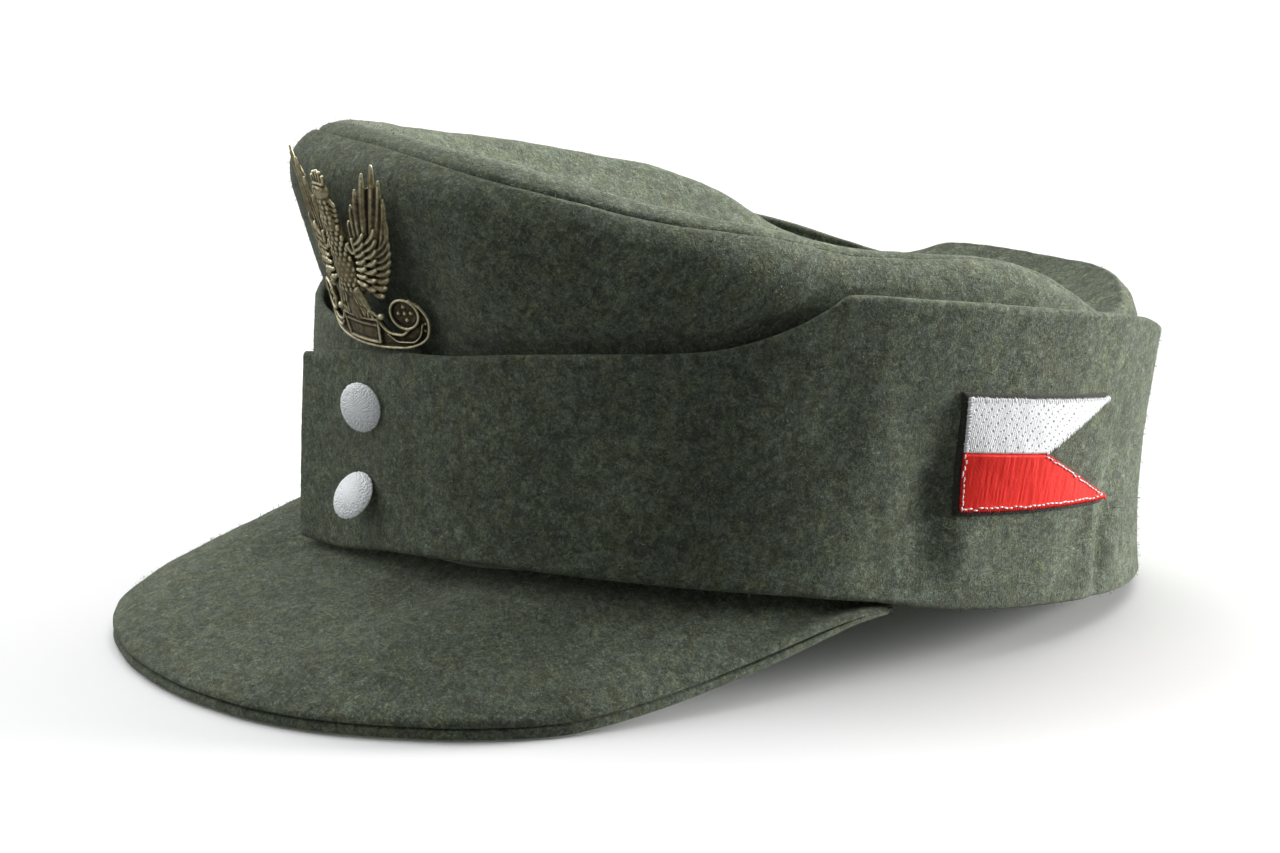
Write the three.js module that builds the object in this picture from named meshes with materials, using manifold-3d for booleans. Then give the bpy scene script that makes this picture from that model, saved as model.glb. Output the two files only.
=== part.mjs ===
// Field cap: crown of two cloth panels, turned-up ear flap with overlapping front ends,
// two-layer peak, two buttons, eagle badge with its post, and a swallow-tailed pennant patch.
// Millimetres, +Z up, the peak points to -Y, the wearer's left is +X. The cap rests on a
// surface at z = 0 on the front edge of its peak and the rear of its rim.
import * as THREE from 'three';
import { mergeVertices } from 'three/addons/utils/BufferGeometryUtils.js';
import Module from 'manifold-3d';

// ---------------------------------------------------------------- driving dimensions
const TILT_DEG = 6.6;        // the rim plane leans back while the peak's edge rests on the surface
const TILT_ARM = 109;        // the rim plane meets the surface level this far behind the centre
const CROWN_WALL = 1.8;      // one layer of fulled wool cloth
const FLAP_WALL = 2.4;       // two layers of cloth, turned and pressed
const LAP_STEP = 2.8;        // the under end of the flap lies this far inside the upper end
const SEAM_GAP = 0.55;       // clear gap at the seam between the crown's two panels
const PEAK_GAP = 0.6;        // gap between the two layers of the peak
const HEM_UNDER = 3.0;       // turned hem at the flap's free lower edge, over the peak
const HEM_FOLD = 7.0;        // fold under the crown's lower edge, at the sides and the rear
const BUTTON_D = 11.4;
const BUTTON_RISE = 2.6;
const CLEAR = 0.35;          // gap kept between pieces that lie on each other
const BADGE_T = 1.9;
const POST_D = 3.0;
const NUT_D = 14;
const PATCH_BACK_T = 0.9;
const PATCH_FACE_T = 0.8;

// Plan of the crown at fractions of its height: half width, front and rear half lengths.
const CROWN_RINGS = [
  { frac: 0.00, half: 80.8, front: 102.4, rear: 89.4 },
  { frac: 0.20, half: 81.6, front: 103.4, rear: 88.0 },
  { frac: 0.38, half: 82.2, front: 104.4, rear: 86.6 },
  { frac: 0.45, half: 82.5, front: 105.2, rear: 86.3 },
  { frac: 0.50, half: 82.8, front: 107.2, rear: 86.2 },
  { frac: 0.57, half: 83.0, front: 110.6, rear: 86.2 },
  { frac: 0.66, half: 83.2, front: 114.4, rear: 86.2 },
  { frac: 0.75, half: 83.3, front: 117.8, rear: 86.0 },
  { frac: 0.84, half: 83.1, front: 121.6, rear: 85.4 },
  { frac: 0.90, half: 82.0, front: 122.2, rear: 84.8 },
  { frac: 0.95, half: 79.8, front: 118.8, rear: 84.2 },
  { frac: 0.98, half: 77.2, front: 114.2, rear: 83.6 },
  { frac: 1.00, half: 74.0, front: 108.6, rear: 82.2 },
];
const CROWN_SQUARE = { left: 2.2, right: 2.6, rear: 2.2 };
const CROWN_TUCK = 1.35;     // the crown's cloth lies this far inside the flap
const CROWN_SPREAD = 2.2;    // how fast it bulges out again above the flap's upper edge

// Height of the crest round the crown. 0 is the front, 90 the wearer's left, 180 the back.
const CREST = [
  { deg: -157, z: 66.0 }, { deg: -149, z: 61.6 }, { deg: -140, z: 60.0 }, { deg: -126, z: 63.4 },
  { deg: -112, z: 72.4 }, { deg: -103, z: 76.4 }, { deg: -94, z: 79.8 }, { deg: -84, z: 81.2 },
  { deg: -64, z: 84.2 }, { deg: -44, z: 87.3 }, { deg: -30, z: 90.2 }, { deg: -14, z: 92.9 },
  { deg: 0, z: 93.4 }, { deg: 12, z: 92.4 }, { deg: 23, z: 90.6 }, { deg: 35, z: 86.8 },
  { deg: 51, z: 83.2 }, { deg: 66, z: 79.8 }, { deg: 86, z: 79.2 }, { deg: 95, z: 78.2 },
  { deg: 102, z: 76.0 }, { deg: 108, z: 73.0 }, { deg: 114, z: 69.8 }, { deg: 122, z: 65.4 },
  { deg: 130, z: 62.6 }, { deg: 137, z: 63.4 }, { deg: 144, z: 66.4 }, { deg: 151, z: 68.2 },
  { deg: 158, z: 68.7 }, { deg: 166, z: 69.0 }, { deg: 180, z: 68.1 }, { deg: 193, z: 67.4 },
];
// Lower edge of the crown, and how far below the crest the panel seam runs.
const CROWN_HEM = [
  { deg: 0, z: 0.5 }, { deg: 20, z: 2.8 }, { deg: 40, z: 4.8 }, { deg: 56, z: 5.6 }, { deg: 66, z: 5.9 },
  { deg: 74, z: 5.3 }, { deg: 82, z: 3.8 }, { deg: 92, z: 2.8 }, { deg: 102, z: 2.4 }, { deg: 120, z: 2.1 }, { deg: 180, z: 1.3 },
];
const PANEL_SEAM = [
  { deg: 0, drop: 2.6 }, { deg: 20, drop: 3.2 }, { deg: 40, drop: 2.6 }, { deg: 60, drop: 1.4 },
  { deg: 90, drop: 1.1 }, { deg: 140, drop: 1.6 }, { deg: 180, drop: 2.4 },
];
// Middle of the sunken top panel, from the front to the back.
const VALLEY = [
  { y: -109, z: 92.4 }, { y: -96, z: 87.0 }, { y: -80, z: 78.0 }, { y: -60, z: 69.0 },
  { y: -35, z: 62.5 }, { y: -8, z: 56.5 }, { y: 20, z: 53.0 }, { y: 45, z: 53.0 },
  { y: 65, z: 57.5 }, { y: 82.2, z: 64.2 },
];
const EASE_PASSES = 7;
const TROUGH_RINGS = [0.965, 0.90, 0.78, 0.62, 0.44, 0.24];

// Ear flap: lower and upper edge, from the upper (wearer's left) end round to the under end.
const FLAP_EDGES = [
  { deg: -14.5, low: -5.6, top: 38.2 }, { deg: -6.5, low: -4.6, top: 41.6 }, { deg: 0, low: -2.4, top: 44.0 },
  { deg: 5, low: -0.6, top: 45.4 }, { deg: 13, low: 1.4, top: 47.2 }, { deg: 23, low: 3.2, top: 50.6 },
  { deg: 33, low: 3.9, top: 53.4 }, { deg: 42, low: 4.1, top: 55.5 }, { deg: 47, low: 4.0, top: 57.0 },
  { deg: 52, low: 3.9, top: 59.8 }, { deg: 57, low: 3.7, top: 63.6 }, { deg: 61, low: 3.5, top: 67.7 },
  { deg: 63.5, low: 3.2, top: 70.6 }, { deg: 67, low: 2.9, top: 71.0 }, { deg: 73, low: 2.3, top: 70.7 },
  { deg: 80, low: 0.8, top: 70.3 }, { deg: 88, low: -0.2, top: 69.7 }, { deg: 100, low: -0.7, top: 68.5 },
  { deg: 114, low: -0.8, top: 66.8 }, { deg: 124, low: -1.0, top: 64.8 }, { deg: 136, low: -1.2, top: 61.0 },
  { deg: 150, low: -1.4, top: 57.6 }, { deg: 165, low: -1.65, top: 56.2 }, { deg: 180, low: -1.74, top: 56.0 },
  { deg: 195, low: -1.65, top: 56.2 }, { deg: 210, low: -1.4, top: 57.6 }, { deg: 224, low: -1.2, top: 61.0 },
  { deg: 236, low: -1.0, top: 64.8 }, { deg: 246, low: -0.8, top: 66.8 }, { deg: 260, low: -0.7, top: 68.5 },
  { deg: 272, low: -0.2, top: 69.7 }, { deg: 280, low: 0.8, top: 70.3 }, { deg: 287, low: 2.3, top: 70.7 },
  { deg: 293, low: 2.9, top: 71.0 }, { deg: 296.5, low: 3.2, top: 70.6 }, { deg: 299, low: 3.5, top: 66.4 },
  { deg: 303, low: 3.7, top: 61.4 }, { deg: 308, low: 3.9, top: 57.6 }, { deg: 313, low: 4.0, top: 55.0 },
  { deg: 318, low: 4.1, top: 53.2 }, { deg: 327, low: 3.9, top: 50.0 }, { deg: 337, low: 3.2, top: 47.8 },
  { deg: 347, low: 1.6, top: 46.8 }, { deg: 357, low: 0.8, top: 46.6 }, { deg: 368, low: 0.6, top: 46.2 },
];
const FLAP_PLAN = {
  low: { half: 85.5, front: 109.0, rear: 94.0 },
  top: { half: 87.0, front: 111.5, rear: 90.0 },
};
const FLAP_SQUARE = { left: 2.2, right: 3.0, rear: 2.2 };
// The upper end stands off towards its free edge; the under end steps inside; the rear is hollow.
const FLAP_SHIFT = [
  { deg: -14.5, out: 3.2, hollow: 0 }, { deg: -9, out: 1.5, hollow: 0 }, { deg: -3, out: 0.3, hollow: 0 },
  { deg: 4, out: 0, hollow: 0 }, { deg: 100, out: 0, hollow: 0 }, { deg: 130, out: 0, hollow: 1.6 },
  { deg: 160, out: 0, hollow: 2.4 }, { deg: 200, out: 0, hollow: 2.4 }, { deg: 240, out: 0, hollow: 0.6 },
  { deg: 270, out: 0, hollow: 0 }, { deg: 300, out: 0, hollow: 0 }, { deg: 318, out: -1.6, hollow: 0 },
  { deg: 332, out: -3.4, hollow: 0 }, { deg: 344, out: -LAP_STEP - 0.4, hollow: 0 }, { deg: 352, out: -LAP_STEP, hollow: 0 }, { deg: 368, out: -LAP_STEP, hollow: 0 },
];
const HEM_WIDTH = [
  { deg: -14.5, w: HEM_UNDER }, { deg: 79, w: HEM_UNDER }, { deg: 91, w: HEM_FOLD },
  { deg: 269, w: HEM_FOLD }, { deg: 281, w: HEM_UNDER }, { deg: 368, w: HEM_UNDER },
];

// Dents of the flap: centre, half sizes and depth (positive goes in).
const FLAP_DENTS = [
  { deg: 77, z: 24, wide: 9, tall: 15, depth: 1.3 },
  { deg: 121, z: 24, wide: 2.6, tall: 16, depth: 0.9 },
];

// Peak: root angle on the crown and the lower outer edge on the surface, one side; mirrored.
const PEAK_EDGE = [
  { root: 0, x: 0, y: -162.3, z: 0, thick: 4.8 }, { root: 9, x: 12, y: -161.6, z: 0, thick: 4.8 },
  { root: 17, x: 23, y: -159.4, z: 0, thick: 4.8 }, { root: 24, x: 33, y: -156.5, z: 0, thick: 4.8 },
  { root: 30.5, x: 42, y: -152.2, z: 0, thick: 4.8 }, { root: 36.5, x: 50, y: -147.0, z: 0, thick: 4.8 },
  { root: 42, x: 57, y: -140.8, z: 0, thick: 4.8 }, { root: 47, x: 63.3, y: -134.2, z: 0, thick: 4.8 },
  { root: 51.5, x: 69, y: -127.2, z: 0, thick: 4.8 }, { root: 55.5, x: 73.8, y: -119.6, z: 0, thick: 4.8 },
  { root: 59, x: 77.6, y: -111.8, z: 0, thick: 4.8 }, { root: 62, x: 80.0, y: -104.8, z: 0.1, thick: 4.8 },
  { root: 64.5, x: 81.4, y: -98.0, z: 0.7, thick: 4.8 }, { root: 67, x: 82.5, y: -89.0, z: 1.8, thick: 4.8 },
  { root: 69, x: 83.2, y: -77.0, z: 3.6, thick: 4.8 }, { root: 71, x: 83.8, y: -63.5, z: 6.2, thick: 4.7 },
  { root: 73, x: 84.2, y: -50.0, z: 9.2, thick: 4.4 }, { root: 74.5, x: 84.3, y: -38.5, z: 12.1, thick: 3.4 },
  { root: 76, x: 84.2, y: -29.0, z: 14.1, thick: 2.0 }, { root: 78, x: 83.4, y: -22.5, z: 14.3, thick: 1.7 },
];
const PEAK_ROWS = [0, 0.1, 0.22, 0.45, 0.72, 0.93, 1];
// Height of the peak's root, under the crown's hem and the flap, and the dip just outside it.
const PEAK_ROOT = [
  { deg: 0, z: -1.2, dip: 2.6 }, { deg: 14, z: -0.6, dip: 2.7 }, { deg: 24, z: 1.6, dip: 1.0 }, { deg: 35, z: 3.2, dip: 0.3 },
  { deg: 48, z: 3.3, dip: 0 }, { deg: 61, z: 2.8, dip: 0 }, { deg: 70, z: 1.7, dip: 0 }, { deg: 78, z: 0.2, dip: 0 },
];
const PEAK_SHAPE = [
  { b: 0, dip: 0, rise: 0 }, { b: 0.1, dip: 0.8, rise: 0.1 }, { b: 0.22, dip: 1, rise: 0.4 }, { b: 0.45, dip: 0.5, rise: 0.9 },
  { b: 0.72, dip: 0.1, rise: 0.8 }, { b: 1, dip: 0, rise: 0 },
];

// Places on the cloth, by angle and height above the rim.
// The buttons sit askew on their shanks: `face` is where each one points, `off` how far its middle stands off.
const BUTTONS = {
  button_upper: { deg: 0.35, z: 31.2, off: 1.85, face: [0.386, -0.912, -0.127] },
  button_lower: { deg: 0.2, z: 10.4, off: 2.75, face: [0.200, -0.880, 0.430] },
};
// The stiff badge is bent round the crown's front, and its sides press the cloth in a little.
const BADGE_AT = { x: 1.6, z: 66.4, turn: 6, clear: 0.45, bend: 36 };
const BADGE_PRESS = [
  { deg: 9.5, z: 63, wide: 7.5, tall: 22, depth: 2.4 }, { deg: -8.5, z: 63, wide: 7.5, tall: 22, depth: 1.0 },
];
const PATCH = {
  left: { top: { deg: 83.9, z: 49.0 }, mid: { deg: 84.5, z: 36.4 }, bottom: { deg: 85.3, z: 22.9 } },
  tip_top: { deg: 113.8, z: 47.3 }, notch: { deg: 100.0, z: 35.6 }, tip_bottom: { deg: 116.7, z: 23.5 },
};

// ---------------------------------------------------------------- small helpers
const RAD = Math.PI / 180;
const lerp = (a, b, t) => a + (b - a) * t;
const clamp = (v, a, b) => Math.min(b, Math.max(a, v));

// Smooth curve through one column of a table (monotone cubic, so it never overshoots a row).
function column(rows, at, key, period = 0) {
  let xs = rows.map((r) => r[at]);
  let ys = rows.map((r) => r[key]);
  if (period) {
    xs = [xs[xs.length - 2] - period, xs[xs.length - 1] - period, ...xs, xs[0] + period, xs[1] + period];
    ys = [ys[ys.length - 2], ys[ys.length - 1], ...ys, ys[0], ys[1]];
  }
  const n = xs.length;
  const slope = xs.slice(1).map((x, i) => (ys[i + 1] - ys[i]) / (x - xs[i]));
  const m = ys.map((_, i) => {
    if (i === 0) return slope[0];
    if (i === n - 1) return slope[n - 2];
    const a = slope[i - 1], b = slope[i];
    return a * b <= 0 ? 0 : (2 * a * b) / (a + b);
  });
  return (x) => {
    if (period) { while (x < xs[2]) x += period; while (x > xs[2] + period) x -= period; }
    x = clamp(x, xs[0], xs[n - 1]);
    let i = 0;
    while (i < n - 2 && x > xs[i + 1]) i += 1;
    const h = xs[i + 1] - xs[i], t = (x - xs[i]) / h;
    const a = t * t * (3 - 2 * t);
    return ys[i] * (1 - a) + ys[i + 1] * a + h * t * (1 - t) * ((1 - t) * m[i] - t * m[i + 1]);
  };
}

// Radius of a plan that is an oval with its own front and rear half lengths.
function planRadius(deg, half, front, rear, power) {
  const s = Math.abs(Math.sin(deg * RAD)), c = Math.cos(deg * RAD);
  const reach = c >= 0 ? front : rear;
  return (Math.pow(s / half, power) + Math.pow(Math.abs(c) / reach, power)) ** (-1 / power);
}
const place = (r, deg, z) => new THREE.Vector3(r * Math.sin(deg * RAD), -r * Math.cos(deg * RAD), z);

// One closed solid from sections that each pair outer points with inner points.
function wall(sections, { ring = false, pole = false } = {}) {
  const rows = sections[0].outer.length, count = sections.length;
  const verts = [], tris = [];
  const add = (p) => verts.push(p.x, p.y, p.z) / 3 - 1;
  const out = sections.map((s) => s.outer.map(add));
  const inn = sections.map((s) => s.inner.map(add));
  if (pole) {
    for (const side of [out, inn]) for (let i = 1; i < count; i += 1) side[i][rows - 1] = side[0][rows - 1];
  }
  const quad = (a, b, c, d) => {
    if (a !== b && b !== c && a !== c) tris.push(a, b, c);
    if (a !== c && c !== d && a !== d) tris.push(a, c, d);
  };
  const last = ring ? count : count - 1;
  for (let i = 0; i < last; i += 1) {
    const j = (i + 1) % count;
    for (let k = 0; k < rows - 1; k += 1) {
      quad(out[i][k], out[j][k], out[j][k + 1], out[i][k + 1]);
      quad(inn[i][k], inn[i][k + 1], inn[j][k + 1], inn[j][k]);
    }
    quad(out[i][0], inn[i][0], inn[j][0], out[j][0]);
    if (!pole) quad(out[i][rows - 1], out[j][rows - 1], inn[j][rows - 1], inn[i][rows - 1]);
  }
  if (!ring) {
    const e = count - 1;
    for (let k = 0; k < rows - 1; k += 1) {
      quad(out[0][k], out[0][k + 1], inn[0][k + 1], inn[0][k]);
      quad(out[e][k], inn[e][k], inn[e][k + 1], out[e][k + 1]);
    }
  }
  return solid(verts, tris);
}

// Builds the geometry and turns its faces outwards.
function solid(verts, tris) {
  let volume = 0;
  const p = (i) => new THREE.Vector3(verts[3 * i], verts[3 * i + 1], verts[3 * i + 2]);
  for (let t = 0; t < tris.length; t += 3) volume += p(tris[t]).dot(p(tris[t + 1]).cross(p(tris[t + 2])));
  if (volume < 0) for (let t = 0; t < tris.length; t += 3) [tris[t + 1], tris[t + 2]] = [tris[t + 2], tris[t + 1]];
  let g = new THREE.BufferGeometry();
  g.setAttribute('position', new THREE.Float32BufferAttribute(verts, 3));
  g.setIndex(tris);
  g = mergeVertices(g, 1e-5);
  g.computeVertexNormals();
  return g;
}

function sampled(from, to, steps) {
  return Array.from({ length: steps + 1 }, (_, i) => lerp(from, to, i / steps));
}

// ---------------------------------------------------------------- ear flap
const flapLow = column(FLAP_EDGES, 'deg', 'low');
const flapTop = column(FLAP_EDGES, 'deg', 'top');
const flapOut = column(FLAP_SHIFT, 'deg', 'out');
const flapHollow = column(FLAP_SHIFT, 'deg', 'hollow');
const hemWidth = column(HEM_WIDTH, 'deg', 'w');

function flapPower(deg) {
  const turn = ((deg % 360) + 360) % 360;
  if (turn <= 90) return FLAP_SQUARE.left;
  return turn >= 270 ? FLAP_SQUARE.right : FLAP_SQUARE.rear;
}
function flapRadius(deg, z) {
  const v = clamp((z - flapLow(deg)) / (flapTop(deg) - flapLow(deg)), 0, 1);
  const p = flapPower(deg), a = FLAP_PLAN.low, b = FLAP_PLAN.top;
  let r = lerp(planRadius(deg, a.half, a.front, a.rear, p), planRadius(deg, b.half, b.front, b.rear, p), v);
  r += flapOut(deg) - flapHollow(deg) * Math.sin(Math.PI * v);
  for (const d of FLAP_DENTS) {
    r -= d.depth * Math.exp(-(((deg - d.deg) / d.wide) ** 2) - ((z - d.z) / d.tall) ** 2);
  }
  return r;
}

// ---------------------------------------------------------------- crown
const crestZ = column(CREST, 'deg', 'z', 360);
const mirrored = (rows) => [...rows.slice(1, -1).reverse().map((r) => ({ ...r, deg: -r.deg })), ...rows];
const hemZ = column(mirrored(CROWN_HEM), 'deg', 'z', 360);
const seamDrop = column(mirrored(PANEL_SEAM), 'deg', 'drop', 360);
const ringHalf = column(CROWN_RINGS, 'frac', 'half');
const ringFront = column(CROWN_RINGS, 'frac', 'front');
const ringRear = column(CROWN_RINGS, 'frac', 'rear');
const valleyZ = column(VALLEY, 'y', 'z');

function crownPower(deg) {
  if (Math.cos(deg * RAD) < 0) return CROWN_SQUARE.rear;
  return Math.sin(deg * RAD) >= 0 ? CROWN_SQUARE.left : CROWN_SQUARE.right;
}
// The flap's layers at one angle: the under end, and the upper end where it lies over it.
function flapLayers(deg) {
  let turn = deg;
  while (turn < 8) turn += 360;
  while (turn >= 368) turn -= 360;
  const lapped = turn > 342 ? [turn, turn - 360] : [turn];
  return lapped.map((d) => ({ d, top: Math.max(flapTop(d - 3.5), flapTop(d), flapTop(d + 3.5)) + 1.0 }));
}
function brinkZ(deg) { return flapLayers(deg)[0].top; }
function heldRadius(deg, z) {
  return Math.min(...flapLayers(deg).map(({ d, top }) => flapRadius(d, z) - FLAP_WALL - CROWN_TUCK + CROWN_SPREAD * Math.max(0, z - top)));
}
// Free shape of the crown, held in by the flap round it.
function crownRadius(deg, frac) {
  const z = lerp(hemZ(deg), crestZ(deg), frac), held = heldRadius(deg, z);
  const turn = ((deg + 540) % 360) - 180;
  let press = 0;
  for (const b of BADGE_PRESS) press += b.depth * Math.exp(-(((turn - b.deg) / b.wide) ** 2) - ((z - b.z) / b.tall) ** 2);
  const free = planRadius(deg, ringHalf(frac), ringFront(frac), ringRear(frac), crownPower(deg)) - press;
  const soft = 0.5;
  return Math.min(free, held) - soft * Math.log(1 + Math.exp(-Math.abs(free - held) / soft)) * (z > brinkZ(deg) ? 1 : 0.3);
}
// Height on the sunken panel at a share rho of the crest's radius.
function troughZ(deg, rho) {
  const rim = crownRadius(deg, 1);
  const x = rho * rim * Math.sin(deg * RAD), y = -rho * rim * Math.cos(deg * RAD);
  const reach = y < 0 ? CROWN_RINGS.at(-1).front : CROWN_RINGS.at(-1).rear;
  const power = crownPower(deg);
  const across = CROWN_RINGS.at(-1).half * Math.pow(Math.max(1e-6, 1 - Math.pow(Math.abs(y) / reach, power)), 1 / power);
  const side = Math.atan2(x >= 0 ? across : -across, -y) / RAD;
  const share = clamp(Math.abs(x) / across, 0, 1);
  const base = valleyZ(clamp(y, -reach, reach));
  const blendIn = Math.pow(share, 3.0);
  const across_z = lerp(base, crestZ(side), blendIn);
  return across_z;
}
// Outer outline of the crown at one angle, from the hem over the crest to the middle.
function crownOutline(deg) {
  const pts = [];
  const z0 = hemZ(deg), z1 = crestZ(deg);
  for (const frac of sampled(0, 1, 50)) {
    const f = 1 - Math.pow(1 - frac, 1.35);
    pts.push({ r: crownRadius(deg, f), z: lerp(z0, z1, f) });
  }
  const rim = crownRadius(deg, 1);
  for (const rho of [0.985, ...TROUGH_RINGS, 0.1, 0]) {
    const edge = clamp((rho - 0.9) / 0.1, 0, 1);
    const over = 0.9 * Math.sin(Math.PI * clamp((rho - 0.86) / 0.14, 0, 1));
    pts.push({ r: rho * rim, z: lerp(troughZ(deg, rho), z1, edge * edge) + over });
  }
  // Cloth doesn't fold sharply, so the outline is eased along its length.
  for (let pass = 0; pass < EASE_PASSES; pass += 1) {
    const before = pts.map((p) => ({ ...p }));
    for (let i = 2; i < pts.length - 1; i += 1) {
      const a = before[i - 1], b = before[i + 1], p = pts[i];
      const la = Math.hypot(p.r - a.r, p.z - a.z), lb = Math.hypot(p.r - b.r, p.z - b.z), t = la / Math.max(1e-9, la + lb);
      const k = 0.5 * clamp(2.4 / Math.max(0.4, (la + lb) / 2), 0, 1);
      p.r = lerp(p.r, lerp(a.r, b.r, t), k);
      p.z = lerp(p.z, lerp(a.z, b.z, t), k);
    }
  }
  for (const p of pts.slice(0, 51)) p.r = Math.min(p.r, heldRadius(deg, p.z));
  let s = 0;
  pts.forEach((p, i) => { if (i) s += Math.hypot(p.r - pts[i - 1].r, p.z - pts[i - 1].z); p.s = s; });
  const crest = pts[50].s;
  const at = (d) => {
    d = clamp(d, 0, s);
    let i = 0;
    while (i < pts.length - 2 && d > pts[i + 1].s) i += 1;
    const t = (d - pts[i].s) / Math.max(1e-9, pts[i + 1].s - pts[i].s);
    return place(lerp(pts[i].r, pts[i + 1].r, t), deg, lerp(pts[i].z, pts[i + 1].z, t));
  };
  const seam = crest - seamLength(pts, z1, seamDrop(deg));
  let k = 0;
  while (k < 49 && pts[k + 1].z < brinkZ(deg)) k += 1;
  const share = clamp((brinkZ(deg) - pts[k].z) / Math.max(1e-9, pts[k + 1].z - pts[k].z), 0, 1);
  return { at, crest, total: s, seam, brink: Math.min(lerp(pts[k].s, pts[k + 1].s, share), seam - 3) };
}
function seamLength(pts, top, drop) {
  let i = 50;
  while (i > 0 && top - pts[i].z < drop) i -= 1;
  const t = (top - drop - pts[i].z) / Math.max(1e-9, pts[i + 1].z - pts[i].z);
  return pts[50].s - lerp(pts[i].s, pts[i + 1].s, clamp(t, 0, 1));
}
// Sections of a panel: points along the outline, and the same moved in along the normal.
function panel(degs, stations, thick) {
  return degs.map((deg) => {
    const here = crownOutline(deg), before = crownOutline(deg - 1.2), after = crownOutline(deg + 1.2);
    const at = stations(here), atBefore = stations(before), atAfter = stations(after);
    const outer = at.map((d) => here.at(d));
    const inner = at.map((d, k) => {
      if (d >= here.total - 1e-6) return outer[k].clone().add(new THREE.Vector3(0, 0, -thick));
      const across = after.at(atAfter[k]).sub(before.at(atBefore[k]));
      const along = here.at(d + 1.2).sub(here.at(d - 1.2));
      return outer[k].clone().addScaledVector(across.cross(along).normalize(), -thick);
    });
    return { outer, inner };
  });
}

const TUCKED_SHARES = [0, 0.36, 0.7, 1];
const OPEN_SHARES = [0.16, 0.34, 0.53, 0.72, 0.88, 1];
const TOP_SHARES = [0, 0.045, 0.1, 0.17, 0.3, 0.48, 0.68, 0.86, 1];
const sideStations = (o) => {
  const end = o.seam - SEAM_GAP / 2;
  return [...TUCKED_SHARES.map((u) => u * o.brink), ...OPEN_SHARES.map((u) => lerp(o.brink, end, u))];
};
const topStations = (o) => TOP_SHARES.map((u) => lerp(o.seam + SEAM_GAP / 2, o.total, u));
const round = sampled(-180, 180, 58).slice(0, -1);
const sideGeo = wall(panel(round, sideStations, CROWN_WALL), { ring: true });
const topGeo = wall(panel(round, topStations, CROWN_WALL), { ring: true, pole: true });

// ---------------------------------------------------------------- flap wall
const FLAP_SHARES = [0.06, 0.24, 0.45, 0.65, 0.84, 1];
function flapSection(deg) {
  const low = flapLow(deg), top = flapTop(deg), hem = hemWidth(deg);
  const foot = flapRadius(deg, low);
  const outer = [[foot - hem, low], [foot - 0.5, low]], inner = [[foot - hem, low + FLAP_WALL], [foot - FLAP_WALL - 0.3, low + FLAP_WALL]];
  for (const v of FLAP_SHARES) {
    const z = lerp(low, top, v), r = flapRadius(deg, z);
    outer.push([r, z]);
    inner.push([r - FLAP_WALL, Math.max(z, low + FLAP_WALL + 0.4 + v)]);
  }
  return { outer: outer.map(([r, z]) => place(r, deg, z)), inner: inner.map(([r, z]) => place(r, deg, z)) };
}
const flapDegs = [...sampled(-14.5, 42, 11), ...sampled(45.5, 70, 7), ...sampled(76, 290, 30), ...sampled(294, 318, 6), ...sampled(324, 368, 8)];
const flapGeo = wall(flapDegs.map(flapSection));

// ---------------------------------------------------------------- peak
const tilt = TILT_DEG * RAD;
const toRest = (p) => new THREE.Vector3(p.x, p.y * Math.cos(tilt) + p.z * Math.sin(tilt), -p.y * Math.sin(tilt) + p.z * Math.cos(tilt) + TILT_ARM * Math.sin(tilt));
const peakSpan = [...PEAK_EDGE.slice(1).reverse().map((r) => ({ ...r, root: -r.root, x: -r.x })), ...PEAK_EDGE];
const peakKeys = peakSpan.map((r, i) => ({ ...r, i }));
const edgeX = column(peakKeys, 'i', 'x'), edgeY = column(peakKeys, 'i', 'y'), edgeZ = column(peakKeys, 'i', 'z');
const edgeT = column(peakKeys, 'i', 'thick'), edgeRoot = column(peakKeys, 'i', 'root');
const rootZ = column(PEAK_ROOT, 'deg', 'z'), rootDip = column(PEAK_ROOT, 'deg', 'dip');
const shapeRise = column(PEAK_SHAPE, 'b', 'rise'), shapeDip = column(PEAK_SHAPE, 'b', 'dip');
function peakLayer(from, to, inset) {
  const steps = peakKeys.length - 1;
  return sampled(0, steps, steps).map((i) => {
    const deg = edgeRoot(i), thick = edgeT(i);
    const side = Math.abs(deg);
    const root = toRest(place(crownRadius(deg, 0) - 1.2, deg, rootZ(side)));
    const edge = new THREE.Vector3(edgeX(i), edgeY(i), edgeZ(i) + thick);
    const away = edge.clone().sub(root).setZ(0).normalize();
    const upper = [], lower = [];
    for (const b of PEAK_ROWS) {
      const p = root.clone().lerp(edge, b);
      p.z += shapeRise(b) - rootDip(side) * shapeDip(b);
      const soft = b === 1 ? 0.125 * thick : 0;
      const t = lerp(Math.min(thick, 4.4), thick, b);
      const hi = p.clone().addScaledVector(away, -inset * b), lo = hi.clone();
      hi.z -= from * t + (from === 0 ? soft : 0);
      lo.z -= to * t;
      if (b === 1 && from === 0) hi.addScaledVector(away, -0.14 * thick);
      upper.push(hi);
      lower.push(lo);
    }
    return { outer: upper, inner: lower };
  });
}
const halfGap = PEAK_GAP / 2 / 4.0;
const peakTopGeo = wall(peakLayer(0, 0.5 - halfGap, 0));
const peakUnderGeo = wall(peakLayer(0.5 + halfGap, 1, 0.25));

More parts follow.
